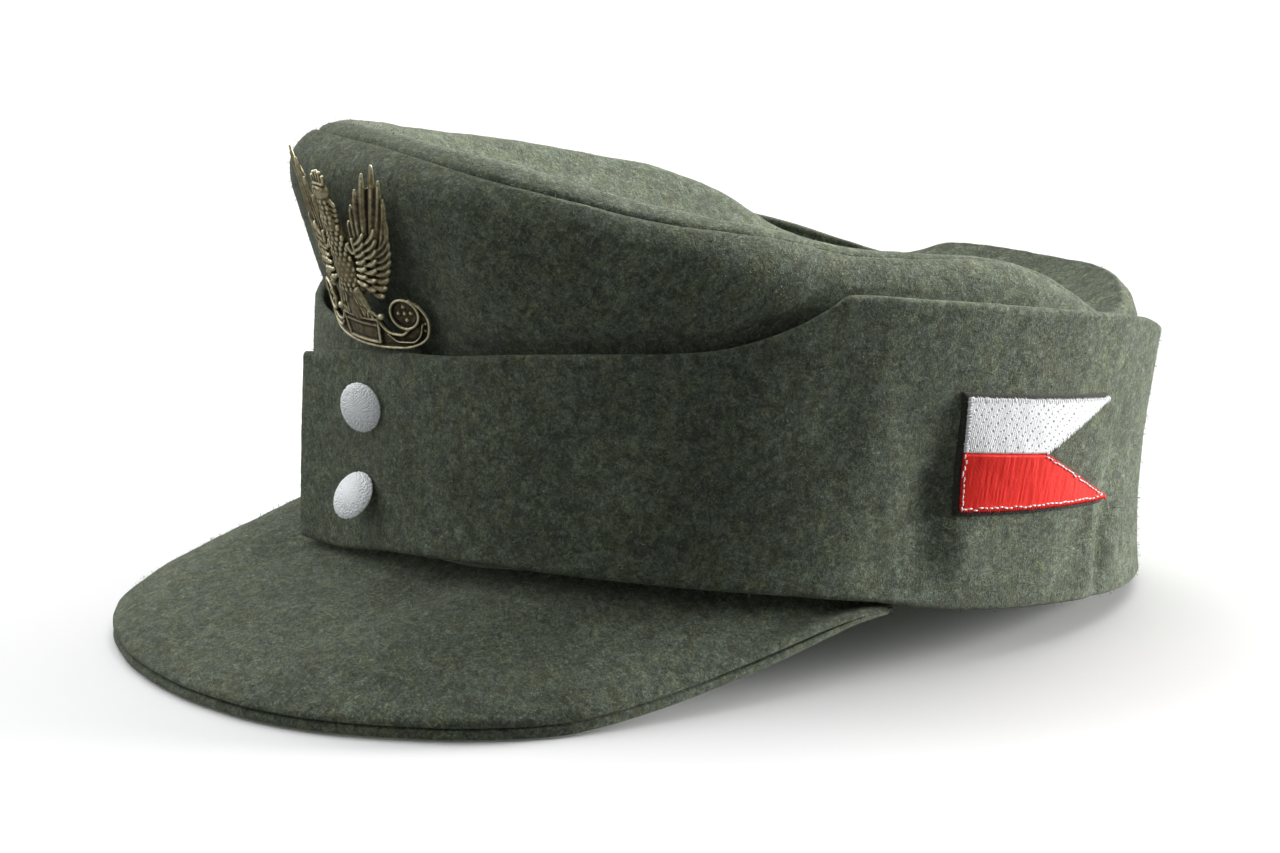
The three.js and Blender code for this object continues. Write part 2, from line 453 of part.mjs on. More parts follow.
// ---------------------------------------------------------------- pieces on the cloth
function onFlap(deg, z, off) {
  const at = (d, h) => place(flapRadius(d, h), d, h);
  const n = at(deg + 0.8, z).sub(at(deg - 0.8, z)).cross(at(deg, z + 1).sub(at(deg, z - 1))).normalize();
  return { p: at(deg, z).addScaledVector(n, off), n };
}
function buttonMesh(spot) {
  const R = BUTTON_D / 2;
  const profile = [[0, 0], [R * 0.72, 0], [R * 0.95, 0.35], [R, 0.8], [R * 0.97, 1.15], [R * 0.8, 1.75], [R * 0.5, 2.3], [R * 0.22, 2.55], [0, BUTTON_RISE]];
  const g0 = new THREE.LatheGeometry(profile.map(([r, z]) => new THREE.Vector2(r, z)), 28);
  g0.deleteAttribute('normal'); g0.deleteAttribute('uv');
  const merged = mergeVertices(g0, 1e-4);
  const idx = Array.from(merged.index.array), pos = Array.from(merged.attributes.position.array), keep = [];
  for (let t = 0; t < idx.length; t += 3) if (idx[t] !== idx[t + 1] && idx[t + 1] !== idx[t + 2] && idx[t] !== idx[t + 2]) keep.push(idx[t], idx[t + 1], idx[t + 2]);
  const g = solid(pos, keep);
  const { p } = onFlap(spot.deg, spot.z, spot.off);
  return { g, p, q: new THREE.Quaternion().setFromUnitVectors(new THREE.Vector3(0, 1, 0), new THREE.Vector3(...spot.face).normalize()) };
}

// Outline of the badge in its own plane, x to the wearer's left and y up, for one half.
const BADGE_OUTLINE = [
  { x: 0.0, y: 22.9 }, { x: 1.9, y: 22.2 }, { x: 2.7, y: 19.6 }, { x: 3.2, y: 15.6 }, { x: 3.0, y: 10.6 }, { x: 3.9, y: 6.4 },
  { x: 4.7, y: 8.6 }, { x: 6.6, y: 15.0 }, { x: 8.8, y: 18.4 }, { x: 11.6, y: 22.8 }, { x: 13.6, y: 22.8 }, { x: 16.0, y: 25.3 },
  { x: 17.0, y: 23.2 }, { x: 17.2, y: 19.4 }, { x: 16.7, y: 14.4 }, { x: 15.8, y: 9.4 }, { x: 15.2, y: 4.8 }, { x: 14.6, y: 0.8 },
  { x: 13.3, y: -3.2 }, { x: 10.9, y: -6.8 }, { x: 8.4, y: -9.0 }, { x: 6.4, y: -10.6 }, { x: 6.0, y: -13.0 }, { x: 7.6, y: -15.0 },
  { x: 9.8, y: -14.6 }, { x: 10.0, y: -11.0 }, { x: 11.4, y: -8.4 }, { x: 13.8, y: -7.5 }, { x: 16.8, y: -8.2 }, { x: 18.9, y: -10.2 },
  { x: 20.3, y: -13.6 }, { x: 20.0, y: -17.0 }, { x: 16.8, y: -18.9 }, { x: 12.4, y: -19.7 }, { x: 0.0, y: -19.9 },
];
// Place on the crown's front straight above x, at height z.
function crownFront(px, pz) {
  let deg = px / 118 / RAD;
  for (let i = 0; i < 6; i += 1) {
    const f = clamp((pz - hemZ(deg)) / (crestZ(deg) - hemZ(deg)), 0, 1);
    deg += (px - crownRadius(deg, f) * Math.sin(deg * RAD)) / 118 / RAD;
  }
  const f = clamp((pz - hemZ(deg)) / (crestZ(deg) - hemZ(deg)), 0, 1);
  return place(crownRadius(deg, f), deg, pz);
}
const badgeMiddle = crownFront(BADGE_AT.x, BADGE_AT.z);
const badgeX = new THREE.Vector3(Math.cos(BADGE_AT.turn * RAD), Math.sin(BADGE_AT.turn * RAD), 0);
const badgeY = crownFront(BADGE_AT.x, BADGE_AT.z + 15).sub(crownFront(BADGE_AT.x, BADGE_AT.z - 15)).normalize();
badgeY.addScaledVector(badgeX, -badgeX.dot(badgeY)).normalize();
const badgeN = badgeX.clone().cross(badgeY);
const onBadge = (x, y, off, stand) => {
  const a = x / BADGE_AT.bend, r = BADGE_AT.bend + off;
  return badgeMiddle.clone().addScaledVector(badgeX, r * Math.sin(a)).addScaledVector(badgeY, y).addScaledVector(badgeN, r * Math.cos(a) - BADGE_AT.bend + stand);
};
// The plate stands just clear of the highest place of the cloth behind it.
let badgeOff = 0;
for (const side of [1, -1]) {
  for (const p of BADGE_OUTLINE) {
    for (const k of [0.35, 0.7, 1]) {
      const q = onBadge(side * p.x * k, p.y * k, 0, 0);
      badgeOff = Math.max(badgeOff, (q.y - crownFront(q.x, Math.min(q.z, 91)).y) / -badgeN.y);
    }
  }
}
badgeOff += BADGE_AT.clear;

const wasm = await Module();
wasm.setup();
function toManifold(geometry) {
  const g = geometry.clone();
  g.deleteAttribute('normal');
  g.deleteAttribute('uv');
  const m = mergeVertices(g, 1e-5);
  return new wasm.Manifold(new wasm.Mesh({ numProp: 3, vertProperties: new Float32Array(m.attributes.position.array), triVerts: new Uint32Array(m.index.array) }));
}
function fromManifold(man) {
  const m = man.getMesh();
  const pos = [];
  for (let i = 0; i < m.vertProperties.length; i += m.numProp) pos.push(m.vertProperties[i], m.vertProperties[i + 1], m.vertProperties[i + 2]);
  const g = new THREE.BufferGeometry();
  g.setAttribute('position', new THREE.Float32BufferAttribute(pos, 3));
  g.setIndex(Array.from(m.triVerts));
  g.computeVertexNormals();
  return g;
}

// ---------------------------------------------------------------- badge and its post
const outline = [...BADGE_OUTLINE, ...BADGE_OUTLINE.slice(1, -1).reverse().map((p) => ({ x: -p.x, y: p.y }))];
const plate = new wasm.CrossSection([outline.map((p) => [p.x, p.y])], 'NonZero').extrude(BADGE_T).refine(3);
const badgeGeo = fromManifold(plate.warp((v) => { onBadge(v[0], v[1], v[2], badgeOff).toArray().forEach((c, i) => { v[i] = c; }); }));

const postAt = onBadge(0, 2, 0, 0);
function turned(profile, segments) {
  const g0 = new THREE.LatheGeometry(profile.map(([r, z]) => new THREE.Vector2(r, z)), segments);
  g0.deleteAttribute('normal'); g0.deleteAttribute('uv');
  const merged = mergeVertices(g0, 1e-4);
  const idx = Array.from(merged.index.array), keep = [];
  for (let t = 0; t < idx.length; t += 3) if (idx[t] !== idx[t + 1] && idx[t + 1] !== idx[t + 2] && idx[t] !== idx[t + 2]) keep.push(idx[t], idx[t + 1], idx[t + 2]);
  return solid(Array.from(merged.attributes.position.array), keep);
}
const POST_IN = 9.5;
const postGeo = turned([[0, -POST_IN], [NUT_D / 2, -POST_IN], [NUT_D / 2, -POST_IN + 2], [POST_D / 2, -POST_IN + 2], [POST_D / 2, badgeOff - CLEAR], [0, badgeOff - CLEAR]], 20);
const drill = turned([[0, -POST_IN - 4], [POST_D / 2 + 0.35, -POST_IN - 4], [POST_D / 2 + 0.35, 6], [0, 6]], 16);
const drillMatrix = new THREE.Matrix4().compose(postAt, new THREE.Quaternion().setFromUnitVectors(new THREE.Vector3(0, 1, 0), badgeN), new THREE.Vector3(1, 1, 1));
drill.applyMatrix4(drillMatrix);
postGeo.applyMatrix4(drillMatrix);
const sideDrilled = fromManifold(toManifold(sideGeo).subtract(toManifold(drill)));

// ---------------------------------------------------------------- pennant patch
// A patch piece is a grid between a left and a right line, laid on the flap.
function patch(rows, columns, base, thick, grow) {
  const left = (v) => rows(v).left, right = (v) => rows(v).right;
  const sections = sampled(0, 1, columns).map((u) => {
    const outer = [], inner = [];
    for (const v of sampled(0, 1, 5)) {
      const a = left(v), b = right(v);
      const deg = lerp(a.deg - grow.side, b.deg + grow.tip, u), z = lerp(a.z, b.z, u) + lerp(-grow.low, grow.high, v);
      inner.push(onFlap(deg, z, base).p);
      outer.push(onFlap(deg, z, base + thick).p);
    }
    return { outer, inner };
  });
  return wall(sections);
}
const L = PATCH.left;
const PATCH_CLEAR = 0.5;
const between = (a, b, v) => ({ deg: lerp(a.deg, b.deg, v), z: lerp(a.z, b.z, v) });
const SPLIT = 0.22;
const whiteRows = (v) => ({ left: between({ deg: L.mid.deg, z: L.mid.z + SPLIT }, L.top, v), right: between({ deg: PATCH.notch.deg, z: PATCH.notch.z + SPLIT }, PATCH.tip_top, v) });
const redRows = (v) => ({ left: between(L.bottom, { deg: L.mid.deg, z: L.mid.z - SPLIT }, v), right: between(PATCH.tip_bottom, { deg: PATCH.notch.deg, z: PATCH.notch.z - SPLIT }, v) });
const none = { side: 0, tip: 0, low: 0, high: 0 };
const faceBase = PATCH_CLEAR + PATCH_BACK_T + CLEAR;
const whiteGeo = patch(whiteRows, 8, faceBase, PATCH_FACE_T, none);
const redGeo = patch(redRows, 8, faceBase, PATCH_FACE_T, none);
// The backing follows the whole swallow tail, a little larger all round.
const backRows = (v) => {
  const right = v < 0.5 ? between(PATCH.tip_bottom, PATCH.notch, v * 2) : between(PATCH.notch, PATCH.tip_top, v * 2 - 1);
  const left = v < 0.5 ? between(L.bottom, L.mid, v * 2) : between(L.mid, L.top, v * 2 - 1);
  return { left, right };
};
function backing() {
  const sections = sampled(0, 1, 9).map((u) => {
    const outer = [], inner = [];
    for (const v of sampled(0, 1, 6)) {
      const r = backRows(v);
      const deg = lerp(r.left.deg - 0.8, r.right.deg + 0.9, u), z = lerp(r.left.z, r.right.z, u) + lerp(-1.1, 1.1, v);
      inner.push(onFlap(deg, z, PATCH_CLEAR).p);
      outer.push(onFlap(deg, z, PATCH_CLEAR + PATCH_BACK_T).p);
    }
    return { outer, inner };
  });
  return wall(sections);
}
const backGeo = backing();

// ---------------------------------------------------------------- materials and assembly
const wool = { color: 0x3b4439, roughness: 0.95, metalness: 0 };
const finish = (o) => new THREE.MeshStandardMaterial(o);
const worn = new THREE.Group();
worn.rotation.x = -tilt;
worn.position.z = TILT_ARM * Math.sin(tilt);
const cap = new THREE.Group();
function piece(parent, name, geometry, material) {
  const mesh = new THREE.Mesh(geometry, finish(material));
  mesh.name = name;
  parent.add(mesh);
  return mesh;
}
piece(worn, 'crown_side', sideDrilled, wool);
piece(worn, 'crown_top', topGeo, { ...wool, color: 0x4a5347 });
piece(worn, 'ear_flap', flapGeo, wool);
for (const [name, spot] of Object.entries(BUTTONS)) {
  const { g, p, q } = buttonMesh(spot);
  const mesh = piece(worn, name, g, { color: 0xa9aeb3, roughness: 0.45, metalness: 0.8 });
  mesh.position.copy(p);
  mesh.quaternion.copy(q);
}
piece(worn, 'badge', badgeGeo, { color: 0x5c4a2c, roughness: 0.4, metalness: 0.9 });
piece(worn, 'badge_post', postGeo, { color: 0x6d5d3a, roughness: 0.5, metalness: 0.9 });
piece(worn, 'pennant_backing', backGeo, { color: 0x2a2b22, roughness: 0.95, metalness: 0 });
piece(worn, 'pennant_white', whiteGeo, { color: 0xe6e6ea, roughness: 0.6, metalness: 0 });
piece(worn, 'pennant_red', redGeo, { color: 0xd2201c, roughness: 0.6, metalness: 0 });
piece(cap, 'peak_top', peakTopGeo, wool);
piece(cap, 'peak_underside', peakUnderGeo, wool);
cap.add(worn);

// The origin is the middle of the cap's box, on the surface.
const group = new THREE.Group();
group.add(cap);
group.updateMatrixWorld(true);
const box = new THREE.Box3().setFromObject(group, true);
cap.position.set(-(box.min.x + box.max.x) / 2, -(box.min.y + box.max.y) / 2, -box.min.z);
group.updateMatrixWorld(true);

export default group;
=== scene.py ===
import math
import bpy
import bmesh
import numpy as np
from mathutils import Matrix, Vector, kdtree


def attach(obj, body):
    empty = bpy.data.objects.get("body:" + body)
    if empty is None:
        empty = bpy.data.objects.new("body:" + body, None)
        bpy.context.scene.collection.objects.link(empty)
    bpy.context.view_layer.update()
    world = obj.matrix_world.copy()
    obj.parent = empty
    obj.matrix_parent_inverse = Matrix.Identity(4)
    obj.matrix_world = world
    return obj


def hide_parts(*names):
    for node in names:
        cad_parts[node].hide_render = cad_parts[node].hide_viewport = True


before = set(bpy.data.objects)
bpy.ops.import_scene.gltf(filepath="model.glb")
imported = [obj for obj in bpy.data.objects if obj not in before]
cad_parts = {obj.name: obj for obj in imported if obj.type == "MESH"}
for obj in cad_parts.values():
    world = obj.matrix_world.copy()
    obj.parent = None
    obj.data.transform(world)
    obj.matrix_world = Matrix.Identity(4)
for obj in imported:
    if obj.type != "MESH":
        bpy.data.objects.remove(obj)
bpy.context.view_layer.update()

# Lengths are in millimetres here, and meshes are written in metres.
MM = 0.001
SHIFT = np.array([-1.04785, 33.26274, 0.0])      # from the crown's centre line to the row's origin
TILT, TILT_ARM = math.radians(6.6), 109.0
CROWN_WALL, FLAP_WALL = 1.8, 2.4
SEAM_GAP = 0.55
rng = np.random.default_rng(41)
scene = bpy.context.scene

# ---------------------------------------------------------------- camera
PHI, EL = math.radians(57.3), math.radians(13.86)
BACK = Vector((math.sin(PHI) * math.cos(EL), -math.cos(PHI) * math.cos(EL), math.sin(EL)))
AIM = (Vector((0, -33.8, 41.65)) + Vector(SHIFT)) * MM
cam = bpy.data.objects.new("camera", bpy.data.cameras.new("camera"))
scene.collection.objects.link(cam)
cam.data.sensor_width = 36.0
cam.data.lens = 98.02
cam.location = AIM + BACK * 0.828
cam.rotation_mode = "QUATERNION"
cam.rotation_quaternion = (-BACK).to_track_quat("-Z", "Y")
cam.data.clip_start, cam.data.clip_end = 0.05, 30
scene.camera = cam

# ---------------------------------------------------------------- tables, as the frame has them
CROWN_RINGS = [  # share of the height, half width, front and rear half lengths
    (0.00, 80.8, 102.4, 89.4), (0.20, 81.6, 103.4, 88.0), (0.38, 82.2, 104.4, 86.6), (0.45, 82.5, 105.2, 86.3),
    (0.50, 82.8, 107.2, 86.2), (0.57, 83.0, 110.6, 86.2), (0.66, 83.2, 114.4, 86.2), (0.75, 83.3, 117.8, 86.0),
    (0.84, 83.1, 121.6, 85.4), (0.90, 82.0, 122.2, 84.8), (0.95, 79.8, 118.8, 84.2), (0.98, 77.2, 114.2, 83.6),
    (1.00, 74.0, 108.6, 82.2)]
CREST = [
    (-157, 66.0), (-149, 61.6), (-140, 60.0), (-126, 63.4), (-112, 72.4), (-103, 76.4), (-94, 79.8), (-84, 81.2),
    (-64, 84.2), (-44, 87.3), (-30, 90.2), (-14, 92.9), (0, 93.4), (12, 92.4), (23, 90.6), (35, 86.8), (51, 83.2),
    (66, 79.8), (86, 79.2), (95, 78.2), (102, 76.0), (108, 73.0), (114, 69.8), (122, 65.4), (130, 62.6), (137, 63.4),
    (144, 66.4), (151, 68.2), (158, 68.7), (166, 69.0), (180, 68.1), (193, 67.4)]
CROWN_HEM = [(0, 0.5), (20, 2.8), (40, 4.8), (56, 5.6), (66, 5.9), (74, 5.3), (82, 3.8), (92, 2.8), (102, 2.4), (120, 2.1), (180, 1.3)]
PANEL_SEAM = [(0, 2.6), (20, 3.2), (40, 2.6), (60, 1.4), (90, 1.1), (140, 1.6), (180, 2.4)]
VALLEY = [(-109, 92.4), (-96, 87.0), (-80, 78.0), (-60, 69.0), (-35, 62.5), (-8, 56.5), (20, 53.0), (45, 53.0), (65, 57.5), (82.2, 64.2)]
TROUGH = [0.985, 0.965, 0.90, 0.78, 0.62, 0.44, 0.24, 0.1, 0]
FLAP_EDGES = [  # angle, lower edge, upper edge
    (-14.5, -5.6, 38.2), (-6.5, -4.6, 41.6), (0, -2.4, 44.0), (5, -0.6, 45.4), (13, 1.4, 47.2), (23, 3.2, 50.6),
    (33, 3.9, 53.4), (42, 4.1, 55.5), (47, 4.0, 57.0), (52, 3.9, 59.8), (57, 3.7, 63.6), (61, 3.5, 67.7),
    (63.5, 3.2, 70.6), (67, 2.9, 71.0), (73, 2.3, 70.7), (80, 0.8, 70.3), (88, -0.2, 69.7), (100, -0.7, 68.5),
    (114, -0.8, 66.8), (124, -1.0, 64.8), (136, -1.2, 61.0), (150, -1.4, 57.6), (165, -1.65, 56.2), (180, -1.74, 56.0),
    (195, -1.65, 56.2), (210, -1.4, 57.6), (224, -1.2, 61.0), (236, -1.0, 64.8), (246, -0.8, 66.8), (260, -0.7, 68.5),
    (272, -0.2, 69.7), (280, 0.8, 70.3), (287, 2.3, 70.7), (293, 2.9, 71.0), (296.5, 3.2, 70.6), (299, 3.5, 66.4),
    (303, 3.7, 61.4), (308, 3.9, 57.6), (313, 4.0, 55.0), (318, 4.1, 53.2), (327, 3.9, 50.0), (337, 3.2, 47.8),
    (347, 1.6, 46.8), (357, 0.8, 46.6), (368, 0.6, 46.2)]
FLAP_LOW_PLAN, FLAP_TOP_PLAN = (85.5, 109.0, 94.0), (87.0, 111.5, 90.0)
FLAP_SHIFT = [  # angle, standing off, hollow
    (-14.5, 3.2, 0), (-9, 1.5, 0), (-3, 0.3, 0), (4, 0, 0), (100, 0, 0), (130, 0, 1.6), (160, 0, 2.4), (200, 0, 2.4),
    (240, 0, 0.6), (270, 0, 0), (300, 0, 0), (318, -1.6, 0), (332, -3.4, 0), (344, -3.2, 0), (352, -2.8, 0), (368, -2.8, 0)]
HEM_WIDTH = [(-14.5, 3.0), (79, 3.0), (91, 7.0), (269, 7.0), (281, 3.0), (368, 3.0)]
FLAP_DENTS = [(77, 24, 9, 15, 1.3), (121, 24, 2.6, 16, 0.9)]
# Finer folds of the cloth: beside the pennant, behind it, and by the flap's step.
FLAP_FOLDS = [(80.0, 27, 4.2, 12, 1.35), (86.5, 14, 4.5, 6, -1.0), (79.0, 15, 3.6, 5.5, 0.6), (74.0, 24, 2.6, 9, -0.6), (118.4, 12, 1.5, 12, 1.6),
              (114.6, 12, 2.2, 13, -0.9), (122.4, 14, 2.2, 12, -0.8), (62, 50, 5, 14, 0.5), (44, 22, 7, 12, -0.5), (-8, 20, 3, 14, 0.35),
              (70, 33, 4.5, 12, -0.7), (28, 30, 6, 9, 0.5)]
PEAK_EDGE = [  # root angle, lower outer edge, thickness
    (0, 0, -162.3, 0, 4.8), (9, 12, -161.6, 0, 4.8), (17, 23, -159.4, 0, 4.8), (24, 33, -156.5, 0, 4.8),
    (30.5, 42, -152.2, 0, 4.8), (36.5, 50, -147.0, 0, 4.8), (42, 57, -140.8, 0, 4.8), (47, 63.3, -134.2, 0, 4.8),
    (51.5, 69, -127.2, 0, 4.8), (55.5, 73.8, -119.6, 0, 4.8), (59, 77.6, -111.8, 0, 4.8), (62, 80.0, -104.8, 0.1, 4.8),
    (64.5, 81.4, -98.0, 0.7, 4.8), (67, 82.5, -89.0, 1.8, 4.8), (69, 83.2, -77.0, 3.6, 4.8), (71, 83.8, -63.5, 6.2, 4.7),
    (73, 84.2, -50.0, 9.2, 4.4), (74.5, 84.3, -38.5, 12.1, 3.4), (76, 84.2, -29.0, 14.1, 2.0), (78, 83.4, -22.5, 14.3, 1.7)]
PEAK_ROOT = [(0, -1.2, 2.6), (14, -0.6, 2.7), (24, 1.6, 1.0), (35, 3.2, 0.3), (48, 3.3, 0), (61, 2.8, 0), (70, 1.7, 0), (78, 0.2, 0)]
PEAK_SHAPE = [(0, 0, 0), (0.1, 0.8, 0.1), (0.22, 1, 0.4), (0.45, 0.5, 0.9), (0.72, 0.1, 0.8), (1, 0, 0)]
BUTTON_SPOTS = {"button_upper": (0.35, 31.2, 1.85, (0.386, -0.912, -0.127)), "button_lower": (0.2, 10.4, 2.75, (0.200, -0.880, 0.430))}
BADGE_X, BADGE_Z, BADGE_TURN, BADGE_CLEAR, BADGE_BEND = 1.6, 66.4, math.radians(6), 0.45, 36.0
BADGE_PRESS = [(9.5, 63, 7.5, 22, 2.4), (-8.5, 63, 7.5, 22, 1.0)]
P_TL, P_ML, P_BL = (83.9, 49.0), (84.5, 36.4), (85.3, 22.9)
P_TT, P_N, P_TB = (113.8, 47.3), (100.0, 35.6), (116.7, 23.5)


# ---------------------------------------------------------------- small helpers
def column(rows, key=1, period=0.0):
    """Smooth curve through one column of a table, which never overshoots a row."""
    xs = np.array([r[0] for r in rows], float)
    ys = np.array([r[key] for r in rows], float)
    if period:
        xs = np.r_[xs[-2:] - period, xs, xs[:2] + period]
        ys = np.r_[ys[-2:], ys, ys[:2]]
    s = np.diff(ys) / np.diff(xs)
    a, b = s[:-1], s[1:]
    m = np.empty_like(ys)
    m[0], m[-1] = s[0], s[-1]
    m[1:-1] = np.where(a * b <= 0, 0.0, 2 * a * b / np.where(np.abs(a + b) < 1e-12, 1.0, a + b))

    def f(x):
        x = np.asarray(x, float)
        if period:
            x = xs[2] + np.mod(x - xs[2], period)
        x = np.clip(x, xs[0], xs[-1])
        i = np.clip(np.searchsorted(xs, x, side="right") - 1, 0, len(xs) - 2)
        h = xs[i + 1] - xs[i]
        t = (x - xs[i]) / h
        e = t * t * (3 - 2 * t)
        return ys[i] * (1 - e) + ys[i + 1] * e + h * t * (1 - t) * ((1 - t) * m[i] - t * m[i + 1])
    return f


def mirrored(rows):
    return [(-r[0],) + tuple(r[1:]) for r in rows[1:-1][::-1]] + list(rows)


def lerp(a, b, t):
    return a + (b - a) * t


def plan(deg, half, front, rear, power):
    s, c = np.abs(np.sin(np.radians(deg))), np.cos(np.radians(deg))
    reach = np.where(c >= 0, front, rear)
    return (np.power(s / half, power) + np.power(np.abs(c) / reach, power)) ** (-1 / power)


def place(r, deg, z):
    a = np.radians(deg)
    r, a, z = np.broadcast_arrays(np.asarray(r, float), np.asarray(a, float), np.asarray(z, float))
    return np.stack([r * np.sin(a), -r * np.cos(a), z], -1)


def rest(P):
    """Crown's own frame to the row frame before the shift: the rim leans back."""
    P = np.asarray(P, float)
    x, y, z = P[..., 0], P[..., 1], P[..., 2]
    c, s = math.cos(TILT), math.sin(TILT)
    return np.stack([x, y * c + z * s, -y * s + z * c + TILT_ARM * s], -1)


def unit(v):
    return v / np.maximum(1e-9, np.linalg.norm(v, axis=-1, keepdims=True))


def vnoise(P, size, seed=0):
    """Smooth noise of -1 to 1, with features about `size` millimetres long."""
    q = np.asarray(P, float) / size + seed * 17.31
    i = np.floor(q).astype(np.int64)
    f = q - i
    f = f * f * (3 - 2 * f)

    def h(dx, dy, dz):
        n = ((i[..., 0] + dx) * 374761393 + (i[..., 1] + dy) * 668265263 + (i[..., 2] + dz) * 1440662683 + seed * 1013) & 0xFFFFFFFF
        n = ((n ^ (n >> 13)) * 1274126177) & 0xFFFFFFFF
        return ((n ^ (n >> 16)) & 0xFFFF) / 32767.5 - 1
    out = 0
    for dx in (0, 1):
        for dy in (0, 1):
            for dz in (0, 1):
                w = (f[..., 0] if dx else 1 - f[..., 0]) * (f[..., 1] if dy else 1 - f[..., 1]) * (f[..., 2] if dz else 1 - f[..., 2])
                out = out + w * h(dx, dy, dz)
    return out


def grid_faces(nc, nm, wrap_c, wrap_m, start=0):
    i = np.arange(nc if wrap_c else nc - 1)
    j = np.arange(nm if wrap_m else nm - 1)
    I, J = np.meshgrid(i, j, indexing="ij")
    I2, J2 = (I + 1) % nc, (J + 1) % nm
    return np.stack([I * nm + J, I2 * nm + J, I2 * nm + J2, I * nm + J2], -1).reshape(-1, 4) + start


def grid_normals(P, wrap):
    if wrap:
        across = np.roll(P, -1, 0) - np.roll(P, 1, 0)
    else:
        across = np.gradient(P, axis=0)
    return unit(np.cross(across, np.gradient(P, axis=1)))


def make(name, verts, faces, material, nodes=(), weld=0.0, smooth=True, outward=True):
    """A mesh object from millimetres in the row frame, riding on the cap's one body."""
    me = bpy.data.meshes.new(name)
    verts, faces = np.asarray(verts, float), np.asarray(faces)
    me.from_pydata((verts * MM).tolist(), [], faces.tolist())
    if weld or outward:
        bm = bmesh.new()
        bm.from_mesh(me)
        if weld:
            bmesh.ops.remove_doubles(bm, verts=bm.verts, dist=weld * MM)
        if outward:
            bmesh.ops.recalc_face_normals(bm, faces=bm.faces)
        bm.to_mesh(me)
        bm.free()
    if smooth:
        me.shade_smooth()
    me.materials.append(material)
    ob = bpy.data.objects.new(name, me)
    scene.collection.objects.link(ob)
    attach(ob, "root")
    if nodes:
        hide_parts(*nodes)
    return ob


def loops(outer, inner, arc=6):
    """Cross sections closed by a rounded edge at either end: outer face, edge, inner face, edge."""
    th = np.linspace(0, np.pi, arc + 2)[1:-1]

    def edge(a, b, t):
        mid, half = (a + b) / 2, (a - b) / 2
        w = np.linalg.norm(half, axis=-1, keepdims=True)
        return np.stack([mid + half * np.cos(k) + t * w * np.sin(k) for k in th], 1)
    hi = edge(outer[:, -1], inner[:, -1], unit(outer[:, -1] - outer[:, -2]))
    lo = edge(inner[:, 0], outer[:, 0], unit(outer[:, 0] - outer[:, 1]))
    return np.concatenate([outer, hi, inner[:, ::-1], lo], 1)


def capped(S, n, arc, steps=6):
    """Rounds off the first and last sections of an open wall."""
    m = S.shape[1]
    partner = np.empty(m, int)
    for k in range(n):
        partner[k], partner[n + arc + (n - 1 - k)] = n + arc + (n - 1 - k), k
    for a in range(arc):
        partner[n + a] = n + arc - 1 - a
        partner[2 * n + arc + a] = 2 * n + arc + arc - 1 - a

    def end(e, nxt):
        mid, half = (S[e] + S[e][partner]) / 2, (S[e] - S[e][partner]) / 2
        away = unit(np.mean(S[e] - S[nxt], axis=0))
        w = np.linalg.norm(S[e][0:n] - S[e][partner][0:n], axis=-1).mean() / 2
        return [mid + half * math.cos(k) + away * w * math.sin(k) for k in np.linspace(0, math.pi / 2, steps + 1)[1:]]
    return np.concatenate([np.array(end(0, 1)[::-1]), S, np.array(end(-1, -2))], 0)


# ---------------------------------------------------------------- shape of the flap and the crown
flap_low, flap_top = column(FLAP_EDGES, 1), column(FLAP_EDGES, 2)
flap_out, flap_hollow = column(FLAP_SHIFT, 1), column(FLAP_SHIFT, 2)
hem_width = column(HEM_WIDTH)


def flap_radius(deg, z):
    deg, z = np.broadcast_arrays(np.asarray(deg, float), np.asarray(z, float))
    low, top = flap_low(deg), flap_top(deg)
    v = np.clip((z - low) / (top - low), 0, 1)
    turn = np.mod(deg, 360)
    p = np.where(turn <= 90, 2.2, np.where(turn >= 270, 3.0, 2.2))
    r = lerp(plan(deg, *FLAP_LOW_PLAN, p), plan(deg, *FLAP_TOP_PLAN, p), v)
    r = r + flap_out(deg) - flap_hollow(deg) * np.sin(np.pi * v)
    for d, h, wide, tall, depth in FLAP_DENTS + FLAP_FOLDS:
        r = r - depth * np.exp(-(((deg - d) / wide) ** 2) - ((z - h) / tall) ** 2)
    # The pressed hem stands out a little along the front.
    window = np.clip((turn - 2) / 12, 0, 1) * np.clip((84 - turn) / 16, 0, 1)
    return r + 1.1 * window * np.exp(-((z - low) / 6.5) ** 2)


crest_z = column(CREST, 1, 360)
hem_z = column(mirrored(CROWN_HEM), 1, 360)
seam_drop = column(mirrored(PANEL_SEAM), 1, 360)
ring_half, ring_front, ring_rear = (column(CROWN_RINGS, k) for k in (1, 2, 3))
valley_z = column(VALLEY)


def crown_power(deg):
    c, s = np.cos(np.radians(deg)), np.sin(np.radians(deg))
    return np.where(c < 0, 2.2, np.where(s >= 0, 2.2, 2.6))


def lap_top(d):
    return np.maximum(np.maximum(flap_top(d - 3.5), flap_top(d)), flap_top(d + 3.5)) + 1.0


def brink_z(deg):
    return lap_top(8 + np.mod(deg - 8, 360))


def held_radius(deg, z):
    t = 8 + np.mod(deg - 8, 360)

    def one(d):
        return flap_radius(d, z) - FLAP_WALL - 1.35 + 2.2 * np.maximum(0, z - lap_top(d))
    return np.where(t > 342, np.minimum(one(t), one(t - 360)), one(t))


def crown_radius(deg, frac):
    deg, frac = np.broadcast_arrays(np.asarray(deg, float), np.asarray(frac, float))
    z = lerp(hem_z(deg), crest_z(deg), frac)
    turn = np.mod(deg + 540, 360) - 180
    press = 0.0
    for d, h, wide, tall, depth in BADGE_PRESS:
        press = press + depth * np.exp(-(((turn - d) / wide) ** 2) - ((z - h) / tall) ** 2)
    free = plan(deg, ring_half(frac), ring_front(frac), ring_rear(frac), crown_power(deg)) - press
    held = held_radius(deg, z)
    return np.minimum(free, held) - 0.5 * np.log(1 + np.exp(-np.abs(free - held) / 0.5)) * np.where(z > brink_z(deg), 1.0, 0.3)


